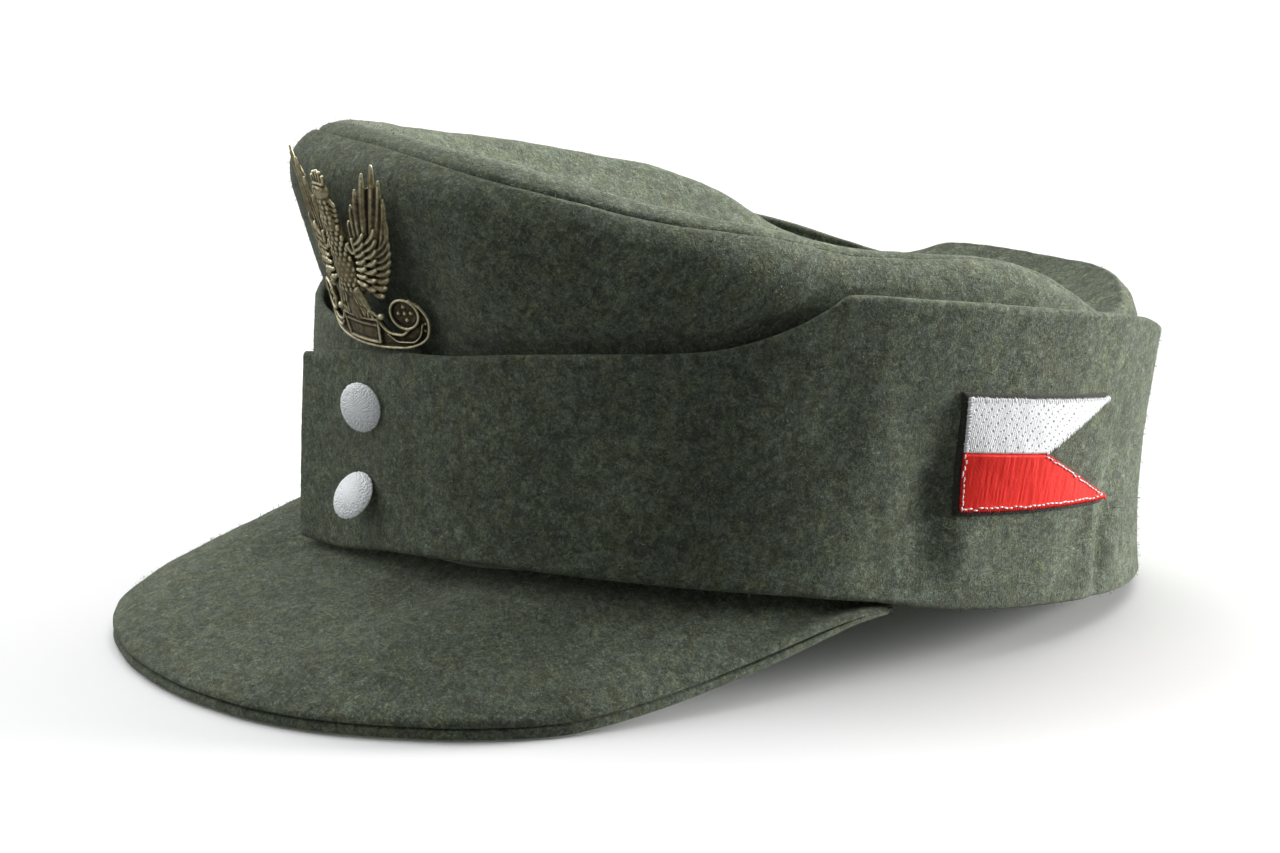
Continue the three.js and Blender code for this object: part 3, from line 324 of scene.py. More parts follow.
def trough_z(deg, rho):
    rim = crown_radius(deg, 1.0)
    x, y = rho * rim * np.sin(np.radians(deg)), -rho * rim * np.cos(np.radians(deg))
    half, front, rear = CROWN_RINGS[-1][1:]
    reach = np.where(y < 0, front, rear)
    p = crown_power(deg)
    across = half * np.power(np.maximum(1e-6, 1 - np.power(np.minimum(1, np.abs(y) / reach), p)), 1 / p)
    side = np.degrees(np.arctan2(np.where(x >= 0, across, -across), -y))
    share = np.clip(np.abs(x) / across, 0, 1)
    return lerp(valley_z(np.clip(y, -reach, reach)), crest_z(side), np.power(share, 3.0))


class Outline:
    """The crown's outer outline at each of many angles, from the hem over the crest to the middle."""

    def __init__(self, degs):
        degs = np.asarray(degs, float)
        D = degs[:, None]
        u = np.linspace(0, 1, 51)[None, :]
        f = 1 - np.power(1 - u, 1.35)
        z0, z1 = hem_z(D), crest_z(D)
        r, z = [crown_radius(D, f)], [lerp(z0, z1, f)]
        rim = crown_radius(degs, 1.0)
        for rho in TROUGH:
            e = min(1, max(0, (rho - 0.9) / 0.1))
            over = 0.9 * math.sin(math.pi * min(1, max(0, (rho - 0.86) / 0.14)))
            r.append((rho * rim)[:, None])
            z.append((lerp(trough_z(degs, rho), crest_z(degs), e * e) + over)[:, None])
        r, z = np.concatenate(r, 1), np.concatenate(z, 1)
        for _ in range(7):
            br, bz = r.copy(), z.copy()
            la = np.hypot(br[:, 2:-1] - br[:, 1:-2], bz[:, 2:-1] - bz[:, 1:-2])
            lb = np.hypot(br[:, 2:-1] - br[:, 3:], bz[:, 2:-1] - bz[:, 3:])
            t = la / np.maximum(1e-9, la + lb)
            k = 0.5 * np.clip(2.4 / np.maximum(0.4, (la + lb) / 2), 0, 1)
            r[:, 2:-1] = lerp(br[:, 2:-1], lerp(br[:, 1:-2], br[:, 3:], t), k)
            z[:, 2:-1] = lerp(bz[:, 2:-1], lerp(bz[:, 1:-2], bz[:, 3:], t), k)
        r[:, :51] = np.minimum(r[:, :51], held_radius(D, z[:, :51]))
        self.degs, self.r, self.z = degs, r, z
        self.s = np.concatenate([np.zeros((len(degs), 1)), np.cumsum(np.hypot(np.diff(r, axis=1), np.diff(z, axis=1)), 1)], 1)
        self.total = self.s[:, -1]
        top = crest_z(degs)
        self.seam = np.empty(len(degs))
        self.brink = np.empty(len(degs))
        drop, bz = seam_drop(degs), brink_z(degs)
        for n in range(len(degs)):
            i = 50
            while i > 0 and top[n] - z[n, i] < drop[n]:
                i -= 1
            t = np.clip((top[n] - drop[n] - z[n, i]) / max(1e-9, z[n, i + 1] - z[n, i]), 0, 1)
            self.seam[n] = lerp(self.s[n, i], self.s[n, i + 1], t)
            k = 0
            while k < 49 and z[n, k + 1] < bz[n]:
                k += 1
            t = np.clip((bz[n] - z[n, k]) / max(1e-9, z[n, k + 1] - z[n, k]), 0, 1)
            self.brink[n] = min(lerp(self.s[n, k], self.s[n, k + 1], t), self.seam[n] - 3)

    def at(self, d):
        """Places at distances d, one row of them an angle. The long steps of the sunken panel are curved."""
        out = np.empty(d.shape + (3,))
        for n in range(len(self.degs)):
            s, dd = self.s[n], np.clip(d[n], 0, self.total[n])
            i = np.clip(np.searchsorted(s, dd, side="right") - 1, 0, len(s) - 2)
            h = np.maximum(1e-9, s[i + 1] - s[i])
            t = (dd - s[i]) / h
            got = []
            for q in (self.r[n], self.z[n]):
                g = np.gradient(q, np.maximum.accumulate(s + np.arange(len(s)) * 1e-9))
                e = t * t * (3 - 2 * t)
                got.append(q[i] * (1 - e) + q[i + 1] * e + h * t * (1 - t) * ((1 - t) * g[i] - t * g[i + 1]))
            out[n] = place(got[0], self.degs[n], got[1])
        return out


# ---------------------------------------------------------------- materials
def tree(name):
    m = bpy.data.materials.new(name)
    m.use_nodes = True
    nt = m.node_tree
    bsdf = nt.nodes["Principled BSDF"]
    coord = nt.nodes.new("ShaderNodeTexCoord")
    return m, nt, bsdf, coord.outputs["Object"]


def noise(nt, vec, scale, detail=3.0, rough=0.6, dist=0.0):
    n = nt.nodes.new("ShaderNodeTexNoise")
    n.inputs["Scale"].default_value = scale
    n.inputs["Detail"].default_value = detail
    n.inputs["Roughness"].default_value = rough
    n.inputs["Distortion"].default_value = dist
    nt.links.new(vec, n.inputs["Vector"])
    return n.outputs["Fac"]


def ramp(nt, fac, stops):
    r = nt.nodes.new("ShaderNodeValToRGB")
    while len(r.color_ramp.elements) < len(stops):
        r.color_ramp.elements.new(0.5)
    for e, (pos, col) in zip(r.color_ramp.elements, stops):
        e.position = pos
        e.color = (*col, 1) if len(col) == 3 else col
    nt.links.new(fac, r.inputs["Fac"])
    return r.outputs["Color"]


def blend(nt, fac, a, b, mode="MIX"):
    m = nt.nodes.new("ShaderNodeMix")
    m.data_type, m.blend_type = "RGBA", mode
    for socket, value in ((m.inputs["Factor"], fac), (m.inputs["A"], a), (m.inputs["B"], b)):
        if isinstance(value, (int, float)):
            socket.default_value = value
        elif isinstance(value, tuple):
            socket.default_value = (*value, 1)
        else:
            nt.links.new(value, socket)
    return m.outputs["Result"]


def grey(v):
    return (v, v, v)


def bump(nt, bsdf, height, strength, distance):
    b = nt.nodes.new("ShaderNodeBump")
    b.inputs["Strength"].default_value = strength
    b.inputs["Distance"].default_value = distance
    nt.links.new(height, b.inputs["Height"])
    nt.links.new(b.outputs["Normal"], bsdf.inputs["Normal"])


def stretched(nt, vec, scale):
    m = nt.nodes.new("ShaderNodeMapping")
    m.inputs["Scale"].default_value = scale
    nt.links.new(vec, m.inputs["Vector"])
    return m.outputs["Vector"]


def wool(name, lift=1.0):
    """Fulled melange wool: short tangled fibres in a few shades, over soft patches of colour."""
    m, nt, bsdf, vec = tree(name)
    fine = noise(nt, vec, 1500, 4, 0.75, 0.6)
    curl = noise(nt, stretched(nt, vec, (1.0, 0.45, 1.3)), 1250, 3, 0.7, 2.2)
    curl2 = noise(nt, stretched(nt, vec, (0.5, 1.2, 0.8)), 1500, 3, 0.7, 2.0)
    tangle = blend(nt, 0.5, fine, blend(nt, 0.5, curl, curl2))
    cloth = ramp(nt, tangle, [
        (0.32, (0.020 * lift, 0.026 * lift, 0.018 * lift)), (0.44, (0.056 * lift, 0.070 * lift, 0.050 * lift)),
        (0.53, (0.109 * lift, 0.133 * lift, 0.098 * lift)), (0.65, (0.255 * lift, 0.295 * lift, 0.228 * lift))])
    # Melange: darker and lighter tufts, and a little brown and blue-green in places.
    tuft = ramp(nt, noise(nt, vec, 420, 3, 0.62, 0.8), [(0.34, grey(0.56)), (0.50, grey(0.98)), (0.66, grey(1.52))])
    cloth = blend(nt, 1.0, cloth, tuft, "MULTIPLY")
    warm = ramp(nt, noise(nt, vec, 230, 3, 0.6, 0.5), [(0.42, grey(0.0)), (0.66, grey(0.6))])
    cool = ramp(nt, noise(nt, stretched(nt, vec, (1.2, 1.0, 0.9)), 150, 3, 0.6, 0.5), [(0.47, grey(0.0)), (0.70, grey(0.45))])
    cloth = blend(nt, warm, cloth, blend(nt, 1.0, cloth, (1.14, 1.02, 0.70), "MULTIPLY"))
    cloth = blend(nt, cool, cloth, blend(nt, 1.0, cloth, (0.90, 1.02, 0.95), "MULTIPLY"))
    broad = ramp(nt, noise(nt, vec, 60, 3, 0.55), [(0.3, grey(0.80)), (0.7, grey(1.20))])
    cloth = blend(nt, 1.0, cloth, broad, "MULTIPLY")
    fleck = ramp(nt, noise(nt, stretched(nt, vec, (1.0, 0.6, 1.2)), 900, 2, 0.5, 3.0), [(0.68, grey(0.0)), (0.75, grey(0.75))])
    cloth = blend(nt, fleck, cloth, (0.30 * lift, 0.315 * lift, 0.23 * lift))
    nt.links.new(cloth, bsdf.inputs["Base Color"])
    rough = ramp(nt, fine, [(0.3, grey(0.98)), (0.7, grey(0.82))])
    nt.links.new(rough, bsdf.inputs["Roughness"])
    bsdf.inputs["Specular IOR Level"].default_value = 0.22
    bsdf.inputs["Sheen Weight"].default_value = 0.22
    bsdf.inputs["Sheen Roughness"].default_value = 0.55
    bsdf.inputs["Sheen Tint"].default_value = (0.86, 0.88, 0.70, 1)
    bump(nt, bsdf, tangle, 0.75, 0.0009)
    return m


def fibres():
    """Loose fibres of the nap, each in its own shade."""
    m, nt, bsdf, vec = tree("wool_fibre")
    tone = nt.nodes.new("ShaderNodeAttribute")
    tone.attribute_name = "shade"
    streak = ramp(nt, noise(nt, vec, 2600, 2, 0.5), [(0.3, grey(0.8)), (0.7, grey(1.15))])
    nt.links.new(blend(nt, 1.0, tone.outputs["Color"], streak, "MULTIPLY"), bsdf.inputs["Base Color"])
    bsdf.inputs["Roughness"].default_value = 0.8
    bsdf.inputs["Specular IOR Level"].default_value = 0.25
    bsdf.inputs["Sheen Weight"].default_value = 0.15
    return m


def bronze():
    """Dark antique bronze, brown in the hollows and greenish gold on the raised edges: partly patina and rubbed wear,
    partly painted shade in the hollows and painted highlight on the edges.
    """
    m, nt, bsdf, vec = tree("antique_bronze")
    wear_and_shade = nt.nodes.new("ShaderNodeAttribute")
    wear_and_shade.attribute_name = "raised"
    patch = noise(nt, vec, 900, 4, 0.65)
    w = nt.nodes.new("ShaderNodeMath")
    w.operation = "MULTIPLY_ADD"
    nt.links.new(patch, w.inputs[0])
    w.inputs[1].default_value = 0.55
    nt.links.new(wear_and_shade.outputs["Fac"], w.inputs[2])
    colour = ramp(nt, w.outputs[0], [
        (0.28, (0.020, 0.015, 0.009)), (0.52, (0.095, 0.075, 0.038)), (0.76, (0.33, 0.275, 0.145)), (0.98, (0.80, 0.75, 0.49))])
    nt.links.new(colour, bsdf.inputs["Base Color"])
    bsdf.inputs["Metallic"].default_value = 0.60
    rough = ramp(nt, w.outputs[0], [(0.3, grey(0.62)), (0.95, grey(0.30))])
    nt.links.new(rough, bsdf.inputs["Roughness"])
    bump(nt, bsdf, noise(nt, vec, 2400, 3, 0.6), 0.35, 0.00012)
    return m


def pebbled_grey():
    """Matt grey metal with a fine cast grain; the colour also carries painted light on the pebble tops and painted
    shade between them.
    """
    m, nt, bsdf, vec = tree("pebbled_grey_metal")
    deep = nt.nodes.new("ShaderNodeAttribute")
    deep.attribute_name = "raised"
    grain = noise(nt, vec, 1800, 3, 0.6)
    w = nt.nodes.new("ShaderNodeMath")
    w.operation = "MULTIPLY_ADD"
    nt.links.new(grain, w.inputs[0])
    w.inputs[1].default_value = 0.4
    nt.links.new(deep.outputs["Fac"], w.inputs[2])
    colour = ramp(nt, w.outputs[0], [(0.25, (0.34, 0.36, 0.38)), (0.50, (0.86, 0.90, 0.92)), (0.9, (0.97, 0.99, 1.0))])
    nt.links.new(colour, bsdf.inputs["Base Color"])
    bsdf.inputs["Metallic"].default_value = 0.12
    rough = ramp(nt, grain, [(0.3, grey(0.52)), (0.7, grey(0.40))])
    nt.links.new(rough, bsdf.inputs["Roughness"])
    bump(nt, bsdf, grain, 0.3, 0.0001)
    return m


def thread(name, dark, light, sheen, gloss=0.4):
    """Embroidery thread, darker where the stitches dip (painted shade) and lighter on the thread ridges (painted
    light).
    """
    m, nt, bsdf, vec = tree(name)
    deep = nt.nodes.new("ShaderNodeAttribute")
    deep.attribute_name = "raised"
    lint = noise(nt, vec, 2200, 3, 0.6)
    w = nt.nodes.new("ShaderNodeMath")
    w.operation = "MULTIPLY_ADD"
    nt.links.new(lint, w.inputs[0])
    w.inputs[1].default_value = 0.3
    nt.links.new(deep.outputs["Fac"], w.inputs[2])
    nt.links.new(ramp(nt, w.outputs[0], [(0.12, dark), (0.5, lerp3(dark, light, 0.75)), (0.9, light)]), bsdf.inputs["Base Color"])
    rough = ramp(nt, lint, [(0.3, grey(0.62)), (0.7, grey(0.46))])
    nt.links.new(rough, bsdf.inputs["Roughness"])
    bsdf.inputs["Sheen Weight"].default_value = sheen
    bsdf.inputs["Specular IOR Level"].default_value = gloss
    return m


def lerp3(a, b, t):
    return tuple(lerp(x, y, t) for x, y in zip(a, b))


def dull_brass():
    m, nt, bsdf, vec = tree("dull_brass")
    patch = noise(nt, vec, 700, 4, 0.6)
    nt.links.new(ramp(nt, patch, [(0.3, (0.16, 0.12, 0.06)), (0.7, (0.42, 0.34, 0.18))]), bsdf.inputs["Base Color"])
    bsdf.inputs["Metallic"].default_value = 0.9
    nt.links.new(ramp(nt, patch, [(0.3, grey(0.6)), (0.7, grey(0.42))]), bsdf.inputs["Roughness"])
    bump(nt, bsdf, patch, 0.2, 0.0001)
    return m


def backing_cloth():
    m, nt, bsdf, vec = tree("backing_cloth")
    weave = noise(nt, vec, 1900, 3, 0.6)
    # Near-black colour: painted shadow, the dark outline round the thick pennant's edge.
    nt.links.new(ramp(nt, weave, [(0.3, (0.012, 0.012, 0.008)), (0.7, (0.050, 0.048, 0.034))]), bsdf.inputs["Base Color"])
    bsdf.inputs["Roughness"].default_value = 0.95
    bsdf.inputs["Sheen Weight"].default_value = 0.1
    bump(nt, bsdf, weave, 0.5, 0.0003)
    return m


WOOL = wool("wool_cloth")
FIBRE = fibres()
BRONZE = bronze()
GREY = pebbled_grey()
WHITE = thread("white_thread", (0.58, 0.58, 0.61), (0.99, 0.99, 1.0), 0.1)
RED = thread("red_thread", (0.58, 0.012, 0.008), (0.98, 0.036, 0.026), 0.0, 0.12)
BACKING_AND_SHADOW = backing_cloth()

# ---------------------------------------------------------------- nap: loose fibres on the cloth
SHADES = np.array([
    [0.29, 0.33, 0.24], [0.20, 0.24, 0.175], [0.12, 0.148, 0.108], [0.25, 0.25, 0.165], [0.115, 0.147, 0.125],
    [0.06, 0.074, 0.053], [0.40, 0.43, 0.33], [0.030, 0.038, 0.027]])
ODDS = np.array([0.10, 0.17, 0.19, 0.07, 0.13, 0.15, 0.02, 0.17])


def nap(name, P, N, count, keep=None, tall=1.0):
    """Short curled fibres strewn over a grid of places with its normals."""
    a, b, c, d = P[:-1, :-1], P[1:, :-1], P[1:, 1:], P[:-1, 1:]
    area = np.linalg.norm(np.cross(c - a, d - b), axis=-1) / 2
    if keep is not None:
        area = area * keep[:-1, :-1]
    w = area.ravel() / area.sum()
    pick = rng.choice(len(w), count, p=w)
    i, j = np.unravel_index(pick, area.shape)
    u, v = rng.random((2, count, 1))
    p = lerp(lerp(P[i, j], P[i + 1, j], u), lerp(P[i, j + 1], P[i + 1, j + 1], u), v)
    n = unit(lerp(lerp(N[i, j], N[i + 1, j], u), lerp(N[i, j + 1], N[i + 1, j + 1], u), v))
    ax = unit(np.cross(n, rng.normal(size=(count, 3))))
    ay = np.cross(n, ax)
    length = rng.uniform(0.45, 1.5, (count, 1))
    bend = rng.choice([-1.0, 1.0], (count, 1)) * rng.uniform(0.3, 1.5, (count, 1))
    up = np.where(rng.random((count, 1)) < 0.12, rng.uniform(0.5, 1.1, (count, 1)), rng.uniform(0.06, 0.32, (count, 1))) * tall
    wide = rng.uniform(0.040, 0.082, (count, 1))
    rows = []
    for t, side in ((0.0, 0), (0.5, -1), (0.5, 1), (1.0, 0)):
        q = p + ax * length * (t - 0.5) + ay * bend * length * (t * t - t) * 1.3 + n * up * (0.12 + t * 0.9 if t else 0.0)
        rows.append(q + ay * wide * side)
    V = np.stack(rows, 1).reshape(-1, 3)
    V[:, 2] = np.maximum(V[:, 2], 0.05)
    base = np.arange(count)[:, None] * 4
    F = np.concatenate([base + np.array([0, 2, 1]), base + np.array([1, 2, 3])], 0)
    me = bpy.data.meshes.new(name)
    me.from_pydata((V * MM).tolist(), [], F.tolist())
    shade = SHADES[rng.choice(len(SHADES), count, p=ODDS)] * rng.uniform(0.8, 1.2, (count, 1))
    col = np.ones((count, 4, 4))
    col[:, :, :3] = shade[:, None, :]
    attr = me.attributes.new("shade", "FLOAT_COLOR", "POINT")
    attr.data.foreach_set("color", col.astype(np.float32).ravel())
    me.materials.append(FIBRE)
    ob = bpy.data.objects.new(name, me)
    scene.collection.objects.link(ob)
    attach(ob, "root")
    return ob


def cloth_relief(P, seed):
    return 0.42 * vnoise(P, 26, seed + 9) + 0.20 * vnoise(P, 11, seed) + 0.12 * vnoise(P, 4.6, seed + 3) + 0.07 * vnoise(P, 1.9, seed + 5)


# ---------------------------------------------------------------- crown
degs = np.linspace(-180, 180, 361)[:-1]
out = Outline(degs)
end = out.seam - 0.06
near_end = np.array([2.6, 2.1, 1.65, 1.25, 0.9, 0.6, 0.35, 0.15, 0.0])
room = np.minimum(1.0, (end - out.brink) * 0.75 / 2.6)[:, None]   # rows stay in order where the crest is low
# The panel seam shows at the front and fades where the cloth rolls over it.
seam_show = lerp(0.62, 0.16, np.clip((np.abs(degs) - 22) / 32, 0, 1))[:, None]
d_tuck = out.brink[:, None] * np.linspace(0, 1, 9)[None, :-1]
d_open = lerp(out.brink[:, None], end[:, None] - 3.1 * room, np.linspace(0, 1, 34)[None, :])
d_side = np.concatenate([d_tuck, d_open, end[:, None] - near_end[None, :] * room], 1)
P = out.at(d_side)
N = grid_normals(P, True)
gap = end[:, None] - d_side
curl = seam_show * (1 - np.clip(gap, 0, 1.5) / 1.5) ** 2
open_part = np.clip((d_side - out.brink[:, None]) / 4.0, 0, 1)
side_out = P + N * (cloth_relief(P, 1) * open_part - curl)[..., None]
side_in = P - N * (CROWN_WALL + curl * 0.3)[..., None]
S = rest(loops(side_out, side_in)) + SHIFT
make("crown_side_cloth", S.reshape(-1, 3), grid_faces(len(degs), S.shape[1], True, True), WOOL, ["crown_side"])
wrap = np.r_[np.arange(len(degs)), 0]
side_rows = rest(side_out[wrap][:, 6:]) + SHIFT
nap("nap_crown_side", side_rows, grid_normals(side_rows, False), 25000)

start = out.seam + 0.06
d_top = np.concatenate([start[:, None] + near_end[::-1][None, :], lerp(start[:, None] + 3.1, out.total[:, None], (1 - (1 - np.linspace(0, 1, 56)) ** 1.0)[None, :])], 1)
P = out.at(d_top)
N = grid_normals(P, True)
N[:, -1] = (0, 0, 1)
gap = d_top - start[:, None]
curl = seam_show * (1 - np.clip(gap, 0, 1.5) / 1.5) ** 2
fade = np.clip((out.total[:, None] - d_top) / 3, 0, 1)
top_out = P + N * (cloth_relief(P, 7) * fade - curl)[..., None]
top_in = P - N * CROWN_WALL
strip = loops(top_out[:, ::-1], top_in[:, ::-1])          # rows run from the middle out to the seam
m = top_out.shape[1]
strip = strip[:, :2 * m + 6]                              # open at the middle, where the rows meet
S = rest(strip) + SHIFT
make("crown_top_cloth", S.reshape(-1, 3), grid_faces(len(degs), S.shape[1], True, False), WOOL, ["crown_top"], weld=0.002)
top_rows = rest(top_out[wrap]) + SHIFT
nap("nap_crown_top", top_rows, grid_normals(top_rows, False), 18500)


# ---------------------------------------------------------------- ear flap
def on_flap(deg, z, off):
    deg, z, off = np.broadcast_arrays(np.asarray(deg, float), np.asarray(z, float), np.asarray(off, float))

    def at(d, h):
        return place(flap_radius(d, h), d, h)
    n = unit(np.cross(at(deg + 0.8, z) - at(deg - 0.8, z), at(deg, z + 1) - at(deg, z - 1)))
    return at(deg, z) + n * off[..., None], n


flap_degs = np.linspace(-13.9, 367.4, 430)
D = flap_degs[:, None]
low, top, hem = flap_low(D), flap_top(D), hem_width(D)
foot = flap_radius(D, low)
ROUND = 1.4
a = np.linspace(0, math.pi / 2, 6)[None, :]
hem_r = lerp(foot - hem, foot - ROUND, np.linspace(0, 1, 5)[None, :-1])
cor_r, cor_z = foot - ROUND + ROUND * np.sin(a), low + ROUND - ROUND * np.cos(a)
vz = lerp(low + ROUND, top - FLAP_WALL / 2, np.linspace(0, 1, 43)[None, 1:])
vr = flap_radius(D, vz)
outer_r = np.concatenate([hem_r, cor_r, vr], 1)
outer_z = np.concatenate([np.broadcast_to(low, hem_r.shape), cor_z, vz], 1)
inner_r = np.concatenate([hem_r, np.broadcast_to(foot - FLAP_WALL - 0.25, cor_r.shape) - 0.3 * (1 - np.sin(a)), vr - FLAP_WALL], 1)
inner_r[:, :4] = np.minimum(inner_r[:, :4], inner_r[:, 4:5] - 0.05)
inner_z = np.concatenate([np.broadcast_to(low + FLAP_WALL, hem_r.shape), low + FLAP_WALL + 0.5 * (1 - np.cos(a)), np.maximum(vz, low + FLAP_WALL + 0.6)], 1)
n_rows = outer_r.shape[1]
outer = place(outer_r, np.broadcast_to(D, outer_r.shape), outer_z)
inner = place(inner_r, np.broadcast_to(D, inner_r.shape), inner_z)
N = grid_normals(outer, False)
# The cloth lies quiet under the pennant and the buttons.
calm = 1 - np.clip(1.25 - np.hypot((outer_z - 36) / 16, (D - 99) / 19), 0, 1) * 0.8
calm = calm * np.clip((outer_z - low) / 3, 0, 1)
outer = outer + N * (cloth_relief(outer, 13) * calm)[..., None]
S = capped(loops(outer, inner, 6), n_rows, 6)
S = rest(S) + SHIFT
make("ear_flap_cloth", S.reshape(-1, 3), grid_faces(len(S), S.shape[1], False, True), WOOL, ["ear_flap"], weld=0.0005)
rows = rest(outer[:, 5:]) + SHIFT
quiet = (np.abs(rows[..., 0]) > -1).astype(float)
quiet[:, :] = np.where((D > 84.5) & (D < 99) & (outer_z[:, 5:] > 23.5) & (outer_z[:, 5:] < 48.5), 0.0, 1.0)
nap("nap_ear_flap", rows, grid_normals(rows, False), 30000, keep=quiet)

# ---------------------------------------------------------------- peak
peak_keys = [(-r[0], -r[1]) + tuple(r[2:]) for r in PEAK_EDGE[1:][::-1]] + list(PEAK_EDGE)
indexed = [(i,) + tuple(r) for i, r in enumerate(peak_keys)]
edge_root, edge_x, edge_y, edge_z, edge_t = (column(indexed, k) for k in (1, 2, 3, 4, 5))
root_z, root_dip = column(PEAK_ROOT, 1), column(PEAK_ROOT, 2)
shape_dip, shape_rise = column(PEAK_SHAPE, 1), column(PEAK_SHAPE, 2)


def peak_layer(name, node, start, stop, inset, seed, fibre_count):
    i = np.linspace(0, len(peak_keys) - 1, 229)
    deg, thick = edge_root(i), edge_t(i)
    side = np.abs(deg)
    root = rest(place(crown_radius(deg, 0.0) - 1.2, deg, root_z(side)))
    edge = np.stack([edge_x(i), edge_y(i), edge_z(i) + thick], -1)
    away = edge - root
    away[:, 2] = 0
    span = np.linalg.norm(away, axis=-1)
    away = away / span[:, None]
    half = (stop - start) * thick / 2
    last = 1 - (half * 0.96 + inset) / span
    b = np.linspace(0, 1, 42)[None, :] * last[:, None]
    p = lerp(root[:, None], edge[:, None], b[..., None])
    p[..., 2] += shape_rise(b) - root_dip(side)[:, None] * shape_dip(b)
    t = lerp(np.minimum(thick, 4.4)[:, None], thick[:, None], b)
    hi, lo = p.copy(), p.copy()
    hi[..., 2] -= start * t
    lo[..., 2] -= stop * t
    if start == 0:
        # The upper layer rolls down a little towards its edge.
        hi[..., 2] -= 0.55 * np.clip(1 - (last[:, None] - b) * span[:, None] / 4.5, 0, 1) ** 2
    N = grid_normals(hi, False)
    N = N * np.sign(N[..., 2:3] + 1e-9)
    hi = hi + N * (cloth_relief(hi, seed) * 0.9 * np.clip(b * 8, 0, 1))[..., None] * (1.0 if start == 0 else 0.2)
    S = capped(loops(hi, lo, 6), hi.shape[1], 6)
    make(name, (S + SHIFT).reshape(-1, 3), grid_faces(len(S), S.shape[1], False, True), WOOL, [node], weld=0.0005)
    if fibre_count:
        rows = hi + SHIFT
        n = grid_normals(rows, False)
        nap("nap_" + node, rows, n * np.sign(n[..., 2:3] + 1e-9), fibre_count)
    return hi


half_gap = 0.075
peak_layer("peak_top_cloth", "peak_top", 0.0, 0.5 - half_gap, 0.0, 19, 13000)
peak_layer("peak_underside_cloth", "peak_underside", 0.5 + half_gap, 1.0, 0.25, 23, 0)


# ---------------------------------------------------------------- buttons
def button(name, deg, z, off, face):
    R = 5.7
    prof = np.array([[0, 0], [R * 0.72, 0], [R * 0.95, 0.35], [R, 0.8], [R * 0.97, 1.15], [R * 0.8, 1.75], [R * 0.5, 2.3], [R * 0.22, 2.55], [0, 2.6]])
    s = np.r_[0, np.cumsum(np.hypot(*np.diff(prof, axis=0).T))]
    q = np.concatenate([np.linspace(0, s[2], 6)[:-1], np.linspace(s[2], s[-1], 62)])
    # Eased profile, so that the dome has no creases.
    pr, py = np.interp(q, s, prof[:, 0]), np.interp(q, s, prof[:, 1])
    for _ in range(14):
        pr[1:-1] = 0.5 * pr[1:-1] + 0.25 * (pr[:-2] + pr[2:])
        py[1:-1] = 0.5 * py[1:-1] + 0.25 * (py[:-2] + py[2:])
    pr, py = pr * (R / pr.max()), py * (2.6 / py.max())
    turns = 220
    th = np.linspace(0, 2 * math.pi, turns + 1)[:-1]
    P = np.stack([pr[None, :] * np.cos(th)[:, None], np.broadcast_to(py, (turns, len(py))), pr[None, :] * np.sin(th)[:, None]], -1)
    dots, ring = [], 0.2
    while ring < R + 1.2:
        count = max(3, int(2 * math.pi * min(ring, R) / 0.44))
        for k in range(count):
            ang = 2 * math.pi * (k + 0.5 * (int(ring / 0.38) % 2)) / count + rng.normal() * 0.05
            rr = ring + rng.normal() * 0.05
            dots.append((min(rr, R) * math.cos(ang), 2.6 - max(0.0, rr - R) * 1.6 - 1.25 * (min(rr, R) / R) ** 2.6, min(rr, R) * math.sin(ang)))
        ring += 0.38
    tree_ = kdtree.KDTree(len(dots))
    for k, v in enumerate(dots):
        tree_.insert(Vector((v[0], v[1] * 0.55, v[2])), k)
    tree_.balance()
    flat_P = P.reshape(-1, 3)
    dist = np.array([tree_.find(Vector((v[0], v[1] * 0.55, v[2])))[2] for v in flat_P]).reshape(P.shape[:2])
    rad = np.hypot(P[..., 0], P[..., 2])
    strength = lerp(0.35, 1.0, np.clip((rad - 1.2) / 2.6, 0, 1)) * np.clip((P[..., 1] - 0.25) / 0.5, 0, 1)
    peb = np.clip(1 - (dist / 0.27) ** 2, 0, 1)
    n = unit(np.stack([P[..., 0], (P[..., 1] - 0.2) * 3.2, P[..., 2]], -1))
    P = P + n * (0.17 * (peb - 0.5) * strength)[..., None]
    spot, _ = on_flap(deg, z, off)
    M = np.array(Vector((0, 1, 0)).rotation_difference(Vector(face).normalized()).to_matrix())
    W = rest(P @ M.T + spot) + SHIFT
    ob = make(name + "_metal", W.reshape(-1, 3), grid_faces(turns, P.shape[1], True, False), GREY, [name])
    # Painted light and shade on the grain: lighter on the pebble tops, darker between the pebbles.
    attr = ob.data.attributes.new("raised", "FLOAT", "POINT")
    attr.data.foreach_set("value", (0.62 + (peb - 0.6) * 0.55 * strength).astype(np.float32).ravel())
    bm = bmesh.new()
    bm.from_mesh(ob.data)
    bmesh.ops.remove_doubles(bm, verts=bm.verts, dist=1e-7)
    bm.to_mesh(ob.data)
    bm.free()
    ob.data.shade_smooth()


for name, spot in BUTTON_SPOTS.items():
    button(name, *spot)

# ---------------------------------------------------------------- badge: an eagle on a crescent base
parts_v, parts_f, parts_n = [], [], 0


def add(V, F):
    global parts_n
    V = np.asarray(V, float)
    parts_v.append(V)
    parts_f.extend([tuple(int(i) + parts_n for i in f) for f in F])
    parts_n += len(V)


